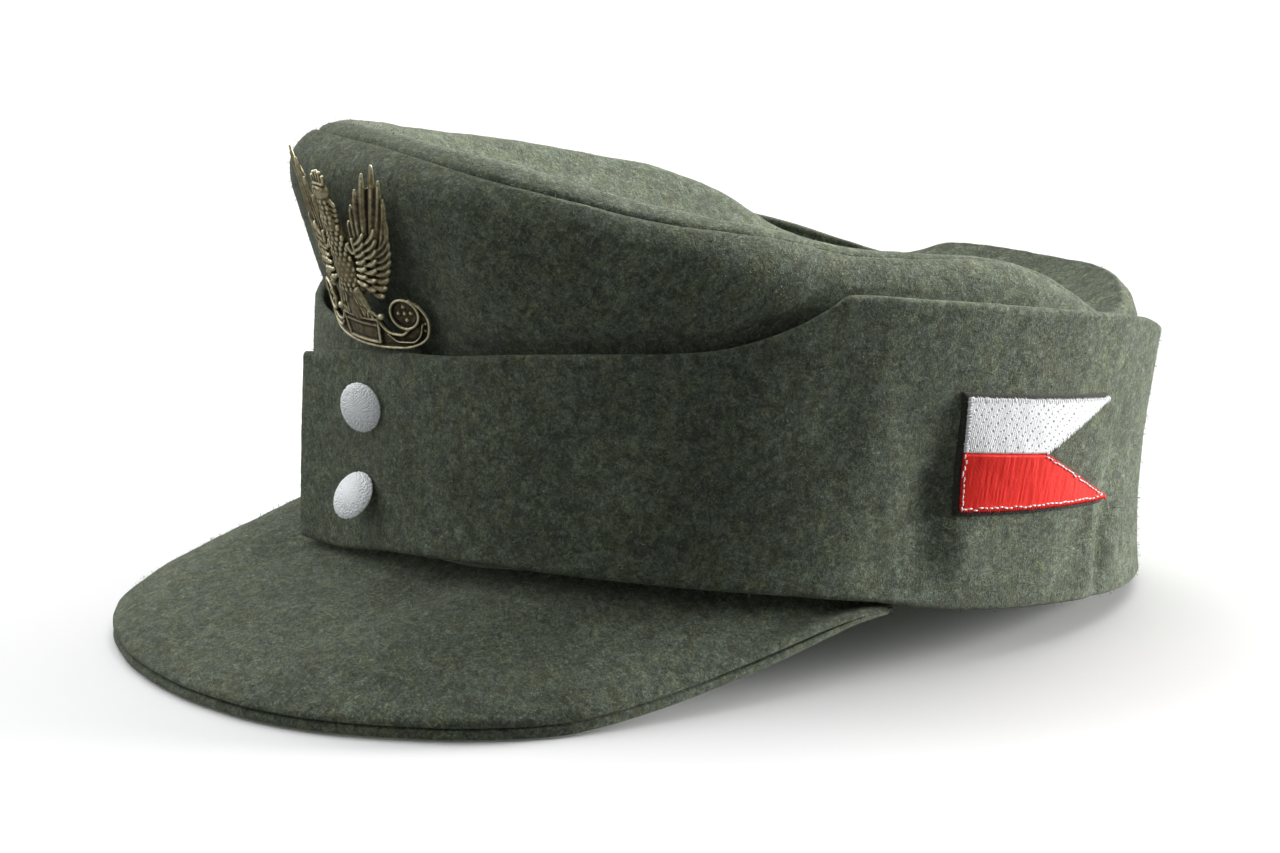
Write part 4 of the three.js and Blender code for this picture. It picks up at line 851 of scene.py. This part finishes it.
def tube(path, width, height=None, sides=10):
    """A closed solid along a path, with its own half width and half height at every place."""
    path = np.asarray(path, float)
    n = len(path)
    width = np.broadcast_to(np.asarray(width, float), (n,))
    height = width if height is None else np.broadcast_to(np.asarray(height, float), (n,))
    t = unit(np.gradient(path, axis=0))
    sidev = unit(np.cross(t, np.array([0, 0, 1.0])))
    upv = np.cross(sidev, t)
    a = np.linspace(0, 2 * math.pi, sides + 1)[:-1]
    V = (path[:, None] + sidev[:, None] * (np.cos(a)[None, :, None] * width[:, None, None]) + upv[:, None] * (np.sin(a)[None, :, None] * height[:, None, None])).reshape(-1, 3)
    F = [tuple(f) for f in grid_faces(n, sides, False, True)]
    c0, c1 = len(V), len(V) + 1
    V = np.concatenate([V, path[:1] - t[:1] * width[0] * 0.3, path[-1:] + t[-1:] * width[-1] * 0.3])
    for k in range(sides):
        F.append((c0, (k + 1) % sides, k))
        F.append((c1, (n - 1) * sides + k, (n - 1) * sides + (k + 1) % sides))
    add(V, F)


def curve(points, n=24):
    """Smooth path through a few points."""
    pts = np.asarray(points, float)
    k = np.arange(len(pts))
    q = np.linspace(0, len(pts) - 1, n)
    return np.stack([column([(i, v) for i, v in zip(k, pts[:, c])])(q) if len(pts) > 2 else np.interp(q, k, pts[:, c]) for c in range(pts.shape[1])], -1)


def feather(base, tip, sway, wide, high, lift0, lift1):
    """A long leaf with a raised shaft; sway bends it sideways."""
    base, tip = np.array(base, float), np.array(tip, float)
    t = np.linspace(0, 1, 15)
    d = tip - base
    side = np.array([d[1], -d[0]]) / np.hypot(*d)
    xy = base + d * t[:, None] + side * (sway * np.sin(np.pi * t) ** 1.0)[:, None]
    h = lerp(lift0, lift1, t)
    shape = np.minimum(1.0, 0.62 + 0.9 * t) * np.sqrt(np.clip(1 - ((t - 0.62) / 0.40).clip(0) ** 2.4, 0.02, 1))
    path = np.c_[xy, h]
    tube(path, wide * shape, high * (0.5 + 0.5 * shape))
    tube(path[1:-1] + np.array([0, 0, high * 0.75]), 0.17 * shape[1:-1] + 0.03, 0.22)


def blob(centre, radii, turn=0.0, n=12):
    u = np.linspace(0, math.pi, n)
    v = np.linspace(0, 2 * math.pi, n + 1)[:-1]
    U, Vv = np.meshgrid(u, v, indexing="ij")
    X, Y, Z = np.sin(U) * np.cos(Vv) * radii[0], np.sin(U) * np.sin(Vv) * radii[1], np.cos(U) * radii[2]
    c, s = math.cos(math.radians(turn)), math.sin(math.radians(turn))
    V = np.stack([centre[0] + X * c - Y * s, centre[1] + X * s + Y * c, centre[2] + Z], -1).reshape(-1, 3)
    add(V, [tuple(f) for f in grid_faces(n, n, False, True)])


def slab(outline, low_h, high_h):
    """A flat plate from a closed outline."""
    o = np.asarray(outline, float)
    n = len(o)
    V = np.concatenate([np.c_[o, np.full(n, low_h)], np.c_[o, np.full(n, high_h)]])
    F = [tuple(range(n))[::-1], tuple(range(n, 2 * n))]
    F += [(k, (k + 1) % n, n + (k + 1) % n, n + k) for k in range(n)]
    add(V, F)


for s in (1, -1):
    # Wing: long primaries, then three rows of curved secondaries and small scales.
    for bx, by, tx, ty, sway, w, l1 in [
            (5.6, 1.4, 5.2, 11.0, -0.4, 0.74, 0.9), (6.3, 2.0, 7.3, 15.0, -0.5, 0.80, 1.0), (7.2, 2.4, 9.8, 18.9, -0.6, 0.84, 1.1),
            (8.2, 2.6, 12.9, 22.8, -0.5, 0.88, 1.2), (9.2, 2.6, 15.9, 24.8, 0.3, 0.88, 1.3), (10.1, 2.4, 16.6, 21.0, 0.5, 0.88, 1.2),
            (10.9, 1.8, 16.4, 16.4, 0.7, 0.86, 1.1), (11.2, 1.1, 15.7, 12.0, 0.8, 0.82, 1.0)]:
        feather((s * bx, by), (s * tx, ty), s * sway, w, 0.50, 0.8, l1)
    for k in range(8):
        a = k / 7
        bx, by = lerp(10.9, 7.2, a ** 1.2), lerp(4.0, -5.4, a)
        tx, ty = lerp(15.3, 10.4, a ** 2.0), lerp(8.4, -6.8, a)
        feather((s * bx, by), (s * tx, ty), s * 0.8, 0.74, 0.50, 1.0, 1.05)
    for k in range(7):
        a = k / 6
        bx, by = lerp(8.4, 5.8, a), lerp(5.6, -4.2, a)
        tx, ty = lerp(12.5, 8.7, a ** 1.4), lerp(9.6, -5.2, a)
        feather((s * bx, by), (s * tx, ty), s * 0.6, 0.70, 0.46, 1.35, 1.4)
    for k in range(7):
        a = k / 6
        bx, by = lerp(6.0, 4.0, a), lerp(5.6, -3.4, a)
        tx, ty = lerp(9.2, 6.8, a), lerp(8.4, -4.2, a)
        feather((s * bx, by), (s * tx, ty), s * 0.4, 0.62, 0.42, 1.6, 1.65)
    # The leading edge of the wing, from the shoulder up to the longest feather.
    tube(np.c_[curve([(s * 3.2, 5.4), (s * 4.6, 3.4), (s * 5.6, 3.8), (s * 5.4, 7.0)], 16), np.full(16, 1.4)], 0.52, 0.6)
    # Leg and claws.
    tube(np.c_[curve([(s * 2.2, -5.8), (s * 3.8, -8.2), (s * 4.9, -10.4)], 12), np.linspace(1.6, 1.3, 12)], np.linspace(1.5, 0.7, 12), np.linspace(0.8, 0.65, 12))
    for k, (cx, cy) in enumerate([(3.7, -12.7), (5.2, -13.2), (6.9, -12.4)]):
        tube(np.c_[curve([(s * 5.0, -10.6), (s * lerp(5.0, cx, 0.6), -11.5), (s * cx, cy)], 9), np.linspace(1.5, 1.2, 9)], np.linspace(0.5, 0.26, 9))
    for k in range(3):
        feather((s * (1.4 + k * 0.8), -6.2), (s * (2.3 + k * 1.1), -9.6 - k * 0.2), 0.2 * s, 0.55, 0.4, 1.7, 1.6)
    # Volute: a ring with five studs, and the lines that run into the crescent's rims.
    a = np.linspace(0, 2 * math.pi, 45)
    ring = np.c_[s * (14.2 + 3.5 * np.cos(a)), -11.2 + 3.5 * np.sin(a), np.full(45, 1.05)]
    tube(ring, 0.34, 0.5, 8)
    slab(np.c_[s * (14.2 + 3.6 * np.cos(a[:-1])), -11.2 + 3.6 * np.sin(a[:-1])][::s], 0.0, 0.65)
    for dx, dy in [(0, 0), (0, 1.65), (1.6, 0.1), (-1.6, 0.1), (0.2, -1.6)]:
        blob((s * (14.2 + dx), -11.2 + dy, 0.75), (0.46, 0.46, 0.45), n=8)
    rim_in = curve([(6.4, -12.2), (7.2, -14.2), (9.4, -16.0), (12.2, -16.3), (14.6, -14.9)], 22)
    rim_out = curve([(15.9, -7.9), (18.5, -9.9), (19.7, -13.2), (18.8, -16.6), (16.0, -18.6), (12.0, -19.4), (6.0, -19.6), (0, -19.7)], 40)
    line = curve([(8.4, -16.2), (11.2, -18.0), (14.6, -18.0), (17.1, -16.3), (18.1, -13.8)], 22)
    for path, w in ((rim_in, 0.34), (rim_out, 0.36), (line, 0.20)):
        q = path * np.array([s, 1])
        tube(np.c_[q, np.full(len(q), 0.95)], w, 0.5, 8)
    body = np.concatenate([rim_in, [(15.8, -14.6)], curve([(17.9, -13.2), (19.6, -13.2), (18.8, -16.6), (16.0, -18.6), (12.0, -19.4), (6.0, -19.6), (0, -19.7)], 30), [(0, -12.4)]]) * np.array([s, 1])
    slab(body[::s], 0.0, 0.6)
    slab((np.array([(15.4, -8.0), (18.3, -10.2), (19.5, -13.4), (17.4, -13.6), (15.2, -12.0)]) * np.array([s, 1]))[::-s], 0.0, 0.6)
    blob((s * 7.7, -12.1, 1.1), (0.95, 0.8, 0.7), 25 * s, 10)
    for dx, dy in [(18.3, -15.4), (18.8, -13.8)]:
        blob((s * dx, dy, 0.7), (0.34, 0.34, 0.34), n=8)
    slab((np.array([(3.0, 6.2), (5.4, 8.4), (7.8, 11.4), (11.4, 18.4), (14.8, 20.0), (15.4, 15.0), (14.6, 8.0), (13.8, 1.8), (12.2, -3.2), (9.4, -6.2), (4.0, -7.0)]) * np.array([s, 1]))[::s], 0.1, 0.75)

# Body, neck, tail, head and crown.
blob((0, -1.0, 1.1), (3.7, 8.0, 1.5), n=22)
blob((0, 7.0, 1.1), (2.8, 5.4, 1.35), n=18)
blob((0, -9.5, 0.9), (3.4, 4.6, 1.0), n=16)
for k, y in enumerate(np.arange(-5.8, 10.4, 1.25)):
    half = 3.5 * math.sqrt(max(0.05, 1 - ((y + 1.0) / 9.6) ** 2)) if y < 3 else lerp(3.3, 2.0, (y - 3) / 7.4)
    count = max(3, int(half * 2 / 1.05))
    for i in range(count):
        x = lerp(-half, half, (i + 0.5 * (k % 2)) / max(1, count - 1)) * 0.94
        if abs(x) > half:
            continue
        blob((x, y, 2.25 - 1.2 * (x / 4.2) ** 2), (0.56, 0.80, 0.44), -x * 5, 8)
for k in range(-2, 3):
    feather((k * 0.8, -7.2), (k * 1.5, -13.6 + abs(k) * 0.5), 0, 0.85, 0.5, 1.35, 1.1)
tube(np.c_[curve([(0, 8.6), (-0.1, 12.2), (-0.5, 16.4)], 11), np.linspace(1.45, 1.7, 11)], np.linspace(2.3, 1.8, 11), np.linspace(1.3, 1.15, 11))
blob((-0.5, 17.2, 1.7), (2.2, 2.2, 1.35), 0, 16)
tube(np.c_[curve([(-2.1, 17.8), (-3.4, 17.8), (-4.1, 16.8), (-4.0, 15.8)], 10), np.full(10, 1.7)], np.linspace(0.95, 0.18, 10), np.linspace(0.75, 0.2, 10))
blob((-1.4, 17.8, 2.75), (0.42, 0.36, 0.28), 0, 8)
tube(np.c_[curve([(-2.5, 18.7), (-1.3, 18.9), (-0.2, 18.6)], 8), np.full(8, 2.6)], 0.24)
for k in range(7):
    feather((1.2 - 0.2 * k, 16.2 - k * 1.15), (2.8 - 0.12 * k, 14.2 - k * 1.2), 0.2, 0.5, 0.4, 1.8, 1.5)
for k, y in enumerate(np.arange(10.6, 15.6, 1.2)):
    for i in range(3):
        blob((-1.5 + i * 1.1 + 0.3 * (k % 2), y, 2.75 - 0.25 * abs(i - 1)), (0.52, 0.72, 0.36), 0, 8)
tube(np.c_[np.linspace(-2.3, 1.3, 9), 19.5 + 0.25 * np.cos(np.linspace(-1.5, 1.5, 9)), np.full(9, 1.8)], 0.44, 0.9)
for x, y in [(-2.4, 21.4), (-1.5, 22.3), (-0.5, 22.6), (0.5, 22.3), (1.4, 21.4)]:
    tube(np.array([[lerp(-0.5, x, 0.85), 19.6, 1.7], [x, y - 0.5, 1.8]]), 0.36, 0.65, 8)
    blob((x, y - 0.1, 1.9), (0.48, 0.48, 0.55), n=8)
blob((-0.5, 20.6, 1.5), (1.6, 1.3, 0.75), 0, 12)
# Trapezoid plate under the claws.
slab([(-6.6, -12.8), (-5.6, -18.9), (5.6, -18.9), (6.6, -12.8)], 0.0, 1.0)
for p, q in (((-6.4, -13.0), (6.4, -13.0)), ((-6.4, -13.0), (-5.5, -18.6)), ((6.4, -13.0), (5.5, -18.6)), ((-5.5, -18.6), (5.5, -18.6))):
    tube(np.c_[np.linspace(p[0], q[0], 18), np.linspace(p[1], q[1], 18), np.full(18, 1.1)], 0.36, 0.42, 8)
tube(np.c_[np.linspace(-6.0, 6.0, 18), np.full(18, -14.5), np.full(18, 1.05)], 0.2, 0.3, 8)

raw = bpy.data.meshes.new("badge_raw")
raw.from_pydata(np.concatenate(parts_v).tolist(), [], parts_f)
tmp = bpy.data.objects.new("badge_raw", raw)
scene.collection.objects.link(tmp)
mod = tmp.modifiers.new("cast", "REMESH")
mod.mode, mod.voxel_size = "VOXEL", 0.22
bpy.context.view_layer.update()
done = bpy.data.meshes.new_from_object(tmp.evaluated_get(bpy.context.evaluated_depsgraph_get()))
B = np.zeros(len(done.vertices) * 3)
done.vertices.foreach_get("co", B)
B = B.reshape(-1, 3)
edges = np.zeros(len(done.edges) * 2, int)
done.edges.foreach_get("vertices", edges)
edges = edges.reshape(-1, 2)


def around(values):
    """Mean of each vertex's neighbours."""
    total = np.zeros_like(values)
    count = np.zeros(len(values))
    for a, b in ((0, 1), (1, 0)):
        np.add.at(total, edges[:, a], values[edges[:, b]])
        np.add.at(count, edges[:, a], 1)
    return total / np.maximum(1, count).reshape((-1,) + (1,) * (values.ndim - 1))


B = lerp(B, around(B), 0.45)
normals = np.zeros(len(done.vertices) * 3)
done.vertices.foreach_get("normal", normals)
normals = normals.reshape(-1, 3)
sharp = np.einsum("ij,ij->i", B - around(around(B)), normals)
for _ in range(2):
    sharp = lerp(sharp, around(sharp), 0.5)
# Colour for the badge: painted shade in the hollows and painted highlight on the high, sharp edges, mixed with real
# patina and wear.
raised = 0.20 + np.clip(B[:, 2] / 2.8, 0, 1) * 0.24 + np.clip(sharp / 0.04, -1, 1) * 0.36


def crown_front(px, pz):
    """Place on the crown's front straight above x, at height z."""
    deg = np.degrees(px / 118)
    for _ in range(6):
        f = np.clip((pz - hem_z(deg)) / (crest_z(deg) - hem_z(deg)), 0, 1)
        deg = deg + np.degrees((px - crown_radius(deg, f) * np.sin(np.radians(deg))) / 118)
    f = np.clip((pz - hem_z(deg)) / (crest_z(deg) - hem_z(deg)), 0, 1)
    return place(crown_radius(deg, f), deg, pz)


# The stiff badge is bent round the crown's front, as the frame's plate is.
middle = crown_front(BADGE_X, BADGE_Z)
bx = np.array([math.cos(BADGE_TURN), math.sin(BADGE_TURN), 0.0])
by = unit(crown_front(BADGE_X, BADGE_Z + 15) - crown_front(BADGE_X, BADGE_Z - 15))
by = unit(by - bx * float(bx @ by))
bn = np.cross(bx, by)


def on_badge(x, y, off, stand_off):
    x, y, off = (np.asarray(v, float)[..., None] for v in (x, y, off))
    a, r = x / BADGE_BEND, BADGE_BEND + off
    return middle + bx * r * np.sin(a) + by * y + bn * (r * np.cos(a) - BADGE_BEND + stand_off)


stand = 0.0
for q in on_badge(B[::40, 0], B[::40, 1], 0 * B[::40, 0], 0.0):
    stand = max(stand, float(q[1] - crown_front(q[0], min(q[2], 91.0))[1]) / -bn[1])
stand += BADGE_CLEAR
W = on_badge(B[:, 0], B[:, 1], B[:, 2], stand)
faces = [tuple(p.vertices) for p in done.polygons]
eagle = make("badge_eagle", rest(W) + SHIFT, np.array([f if len(f) == 4 else f + (f[-1],) for f in faces]), BRONZE, ["badge"])
attr = eagle.data.attributes.new("raised", "FLOAT", "POINT")
attr.data.foreach_set("value", raised.astype(np.float32))
bpy.data.objects.remove(tmp)

# ---------------------------------------------------------------- pennant
def blend2(a, b, t):
    return (lerp(a[0], b[0], t), lerp(a[1], b[1], t))


def stitched(name, node, material, bl, tl, br, tr, tilt_deg, pitch, dip_depth, streaks):
    """Embroidered field between a left and a right line, with thread ridges and stitch holes."""
    nu, nv = 280, 120
    u, v = np.linspace(0, 1, nu)[:, None], np.linspace(0, 1, nv)[None, :]
    deg = lerp(lerp(bl[0], br[0], u), lerp(tl[0], tr[0], u), v)
    z = lerp(lerp(bl[1], br[1], u), lerp(tl[1], tr[1], u), v)
    X, Y = (deg - 84) * 1.49, z
    c, s = math.cos(math.radians(tilt_deg)), math.sin(math.radians(tilt_deg))
    across, along = X * c + Y * s, -X * s + Y * c
    across = across + 0.05 * np.sin(along * 2.3) + 0.10 * vnoise(np.stack([X, Y, X * 0], -1), 1.7, 9)
    row = np.floor(across / pitch)
    ridge = np.abs(np.sin(np.pi * across / pitch)) ** 0.6
    step = 2.3
    phase = np.mod(along / step + row * 0.37 + 0.22 * np.sin(row * 12.9) + 0.12 * np.sin(along * 1.9 + row), 1.0)
    dip = np.exp(-((phase - 0.5) / 0.07) ** 2) * (np.mod(row, 2) == 0)
    streak = vnoise(np.stack([across / 0.5, along / 3.6, 0 * X], -1), 1.0, 11)
    border = np.minimum(np.minimum(u, 1 - u) * 29, np.minimum(v, 1 - v) * 12.5)
    soft = np.clip(border / 0.55, 0, 1)
    h = 0.82 + 0.46 * np.sin(soft * math.pi / 2) + 0.10 * ridge - dip_depth * dip + 0.06 * streaks * streak + 0.07 * vnoise(np.stack([X, Y, X * 0], -1), 2.6, 5)
    P, n = on_flap(deg, z, h)
    Q, _ = on_flap(deg, z, 0.6)
    F = grid_faces(nu, nv, False, False)
    total = nu * nv
    idx = np.arange(total).reshape(nu, nv)
    rim = np.concatenate([idx[:-1, 0], idx[-1, :-1], idx[::-1, -1][:-1], idx[0, ::-1][:-1]])
    low = total + np.arange(len(rim))
    V = np.concatenate([P.reshape(-1, 3), Q.reshape(-1, 3)[rim], Q[nu // 2, nv // 2][None]])
    walls = np.stack([rim, np.roll(rim, -1), np.roll(low, -1), low], -1)
    under = np.stack([low, np.roll(low, -1), np.roll(low, -2), np.full(len(low), total + len(low))], -1)[::2]
    F = np.concatenate([F, under, walls])
    ob = make(name, rest(V) + SHIFT, F, material, [node])
    # Painted light and shade: lighter on the ridges of the stitch rows, darker in the stitch holes; the streaks are
    # the thread's own uneven tone, and the sides underneath get a plain middle value.
    tone = np.concatenate([(0.38 + 0.40 * ridge - 3.2 * dip_depth * dip + 0.30 * streaks * streak).ravel(), np.full(len(low) + 1, 0.3)])
    attr = ob.data.attributes.new("raised", "FLOAT", "POINT")
    attr.data.foreach_set("value", tone.astype(np.float32))
    return ob


SPLIT = 0.05
stitched("pennant_white_thread", "pennant_white", WHITE, (P_ML[0], P_ML[1] + SPLIT), P_TL, (P_N[0], P_N[1] + SPLIT), P_TT, 24, 0.46, 0.17, 0.25)
stitched("pennant_red_thread", "pennant_red", RED, P_BL, (P_ML[0], P_ML[1] - SPLIT), P_TB, (P_N[0], P_N[1] - SPLIT), -4, 0.33, 0.02, 1.0)


def stitches(name, material, runs):
    """Single stitches, each a short plump thread lying along the cloth."""
    V, F, stitch_highlight, base = [], [], [], 0
    for (d0, z0), (d1, z1), off, rad in runs:
        t = np.linspace(0, 1, 7)
        P, n = on_flap(lerp(d0, d1, t), lerp(z0, z1, t), off + 0.16 * np.sin(np.pi * t))
        tan = unit(np.gradient(P, axis=0))
        side = unit(np.cross(tan, n))
        a = np.linspace(0, 2 * math.pi, 9)[:-1]
        w = rad * np.sqrt(np.clip(1 - (2 * t - 1) ** 4, 0.08, 1))
        ring = P[:, None] + side[:, None] * (np.cos(a)[None, :, None] * w[:, None, None]) + n[:, None] * (np.sin(a)[None, :, None] * w[:, None, None] * 0.8)
        V.append(ring.reshape(-1, 3))
        F.append(grid_faces(7, 8, False, True, base))
        F.append(np.array([[base + 0, base + 1, base + 2, base + 3], [base + 0, base + 3, base + 4, base + 7], [base + 4, base + 5, base + 6, base + 7]]))
        e = base + 48
        F.append(np.array([[e + 0, e + 1, e + 2, e + 3], [e + 0, e + 3, e + 4, e + 7], [e + 4, e + 5, e + 6, e + 7]]))
        base += 56
        # Painted highlight: each stitch is lighter along its middle, darker towards its ends where it sinks into the
        # cloth.
        stitch_highlight.append(np.tile(0.45 + 0.2 * np.sin(np.pi * t)[:, None], (1, 8)).ravel())
    ob = make(name, rest(np.concatenate(V)) + SHIFT, np.concatenate(F), material)
    attr = ob.data.attributes.new("raised", "FLOAT", "POINT")
    attr.data.foreach_set("value", np.concatenate(stitch_highlight).astype(np.float32))
    return ob


def along(a, b, step):
    """Places along a line on the flap, with the direction in millimetres."""
    dx, dz = (b[0] - a[0]) * 1.49, b[1] - a[1]
    L = math.hypot(dx, dz)
    n = max(1, int(L / step))
    return [(blend2(a, b, (k + 0.5) / n), (dx / L, dz / L)) for k in range(n)]


runs = []
for a, b, side in ((P_ML, P_TL, 1), (P_TL, P_TT, 1), (P_TT, P_N, 1)):
    for (d, z), (tx, tz) in along(a, b, 0.62):
        nx, nz = tz * side, -tx * side                     # across the edge, into the field
        slip = rng.normal() * 0.10
        l0, l1 = -0.35 + rng.normal() * 0.10, 1.05 + rng.normal() * 0.16
        runs.append((((d + (nx * l0 + tx * slip) / 1.49), z + nz * l0 + tz * slip), ((d + (nx * l1 + tx * (slip + 0.25)) / 1.49), z + nz * l1 + tz * (slip + 0.25)), 1.12, 0.22))
stitches("pennant_white_edging", WHITE, runs)
runs = []
for a, b, side, inset in ((P_N, P_TB, 1, 0.35), (P_TB, P_BL, 1, 0.80), (P_BL, P_ML, 1, 0.30)):
    for (d, z), (tx, tz) in along(a, b, 1.35):
        if math.hypot((d - P_TB[0]) * 1.49, z - P_TB[1]) < 2.6:
            continue                                       # the white line stops short of the red tip
        nx, nz = tz * side, -tx * side
        off_in = inset + rng.normal() * 0.13
        half = 0.60 + rng.normal() * 0.08
        tx, tz = tx + rng.normal() * 0.10, tz + rng.normal() * 0.10
        runs.append((((d + (nx * off_in - tx * half) / 1.49), z + nz * off_in - tz * half), ((d + (nx * off_in + tx * half) / 1.49), z + nz * off_in + tz * half), 1.36, 0.18))
stitches("pennant_white_stitches", WHITE, runs)
runs = []
for a, b, side in ((P_N, P_TB, 1), (P_TB, P_BL, 1), (P_BL, P_ML, 1)):
    for (d, z), (tx, tz) in along(a, b, 0.6):
        nx, nz = tz * side, -tx * side
        l0, l1 = -0.3 + rng.normal() * 0.08, 0.75 + rng.normal() * 0.1
        runs.append((((d + nx * l0 / 1.49), z + nz * l0), ((d + (nx * l1 + tx * 0.2) / 1.49), z + nz * l1 + tz * 0.2), 1.02, 0.2))
stitches("pennant_red_edging", RED, runs)

# Backing: the cloth under the embroidery, a little larger all round, with a ragged overlocked edge; its near-black
# colour is painted shadow, the dark outline round the thick pennant.
nu, nv = 120, 61
u, v = np.linspace(0, 1, nu)[:, None], np.linspace(0, 1, nv)[None, :]
vv = np.broadcast_to(v, (nu, nv))
left = np.where(vv < 0.5, lerp(P_BL[0], P_ML[0], vv * 2), lerp(P_ML[0], P_TL[0], vv * 2 - 1)), np.where(vv < 0.5, lerp(P_BL[1], P_ML[1], vv * 2), lerp(P_ML[1], P_TL[1], vv * 2 - 1))
right = np.where(vv < 0.5, lerp(P_TB[0], P_N[0], vv * 2), lerp(P_N[0], P_TT[0], vv * 2 - 1)), np.where(vv < 0.5, lerp(P_TB[1], P_N[1], vv * 2), lerp(P_N[1], P_TT[1], vv * 2 - 1))
ragged = 0.10 * np.sin(vv * 180) + 0.05 * np.sin(vv * 411)
deg = lerp(left[0] - 0.95 + ragged * 0.6, right[0] + 0.85 + ragged * 0.6, u)
z = lerp(left[1], right[1], u) + lerp(-1.15, 1.05, vv) + 0.08 * np.sin(u * 260) * (np.abs(vv - 0.5) * 2) ** 6
rim_soft = np.clip(np.minimum(np.minimum(u, 1 - u) * 30, np.minimum(vv, 1 - vv) * 26) / 0.7, 0, 1)
P, n = on_flap(deg, z, 0.20 + 0.5 * np.sin(rim_soft * math.pi / 2))
Q, _ = on_flap(deg, z, -0.1)
V = np.concatenate([P.reshape(-1, 3), Q.reshape(-1, 3)])
F = grid_faces(nu, nv, False, False)
total = nu * nv
idx = np.arange(total).reshape(nu, nv)
rim = np.concatenate([idx[:, 0], idx[-1, 1:], idx[::-1, -1][1:], idx[0, ::-1][1:]])
F = np.concatenate([F, F[:, ::-1] + total, np.stack([rim[:-1], rim[1:], rim[1:] + total, rim[:-1] + total], -1)])
make("pennant_backing_and_shadow", rest(V) + SHIFT, F, BACKING_AND_SHADOW, ["pennant_backing"])

# ---------------------------------------------------------------- carried-over frame pieces
BRASS = dull_brass()
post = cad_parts["badge_post"]
post.data.materials.clear()
post.data.materials.append(BRASS)

# ---------------------------------------------------------------- floor and light
fm, nt, bsdf, vec = tree("pale_floor")
nt.links.new(ramp(nt, noise(nt, vec, 6, 3, 0.5), [(0.3, grey(0.90)), (0.7, grey(0.93))]), bsdf.inputs["Base Color"])
bsdf.inputs["Roughness"].default_value = 0.95
bsdf.inputs["Specular IOR Level"].default_value = 0.1
me = bpy.data.meshes.new("floor")
R = 14.0
me.from_pydata([(-R, -R, 0), (R, -R, 0), (R, R, 0), (-R, R, 0)], [], [(0, 1, 2, 3)])
me.materials.append(fm)
floor = bpy.data.objects.new("floor", me)
floor.location.z = -0.0002
scene.collection.objects.link(floor)
floor.visible_diffuse = False
floor.visible_glossy = False

world = bpy.data.worlds.new("studio")
world.use_nodes = True
wt = world.node_tree
bg = wt.nodes["Background"]
bg.inputs["Strength"].default_value = 1.0
# The pale floor sends light up, so the lower half of the surroundings is the brighter one.
direction = wt.nodes.new("ShaderNodeTexCoord")
parts = wt.nodes.new("ShaderNodeSeparateXYZ")
wt.links.new(direction.outputs["Generated"], parts.inputs[0])
shift = wt.nodes.new("ShaderNodeMath")
shift.operation = "MULTIPLY_ADD"
wt.links.new(parts.outputs["Z"], shift.inputs[0])
shift.inputs[1].default_value, shift.inputs[2].default_value = 0.5, 0.5
glow = ramp(wt, shift.outputs[0], [(0.25, (0.34, 0.345, 0.35)), (0.62, (0.075, 0.077, 0.08))])
wt.links.new(glow, bg.inputs["Color"])
white = wt.nodes.new("ShaderNodeBackground")
white.inputs["Color"].default_value = (1, 1, 1, 1)
white.inputs["Strength"].default_value = 1.05
path = wt.nodes.new("ShaderNodeLightPath")
mix = wt.nodes.new("ShaderNodeMixShader")
wt.links.new(path.outputs["Is Camera Ray"], mix.inputs["Fac"])
wt.links.new(bg.outputs["Background"], mix.inputs[1])
wt.links.new(white.outputs["Background"], mix.inputs[2])
wt.links.new(mix.outputs["Shader"], wt.nodes["World Output"].inputs["Surface"])
scene.world = world


def sun(name, direction, strength, angle, colour=(1, 1, 1)):
    data = bpy.data.lights.new(name, "SUN")
    data.energy, data.angle, data.color = strength, math.radians(angle), colour
    ob = bpy.data.objects.new(name, data)
    ob.rotation_mode = "QUATERNION"
    ob.rotation_quaternion = Vector(direction).normalized().to_track_quat("Z", "Y")
    scene.collection.objects.link(ob)


sun("key", (-0.45, 0.60, 1.15), 1.55, 55, (1.0, 0.99, 0.97))
sun("side", (0.24, 1.0, 0.075), 10.8, 28, (1.0, 1.0, 0.99))
sun("left", (-1.0, -0.2, 0.7), 1.6, 60, (0.98, 0.99, 1.0))
sun("over", (0.0, 0.0, 1.0), 0.7, 100, (0.98, 0.99, 1.0))
sun("front", (-0.5, -1.0, 0.6), 0.85, 70, (1.0, 1.0, 1.0))

scene.view_settings.view_transform = "Standard"
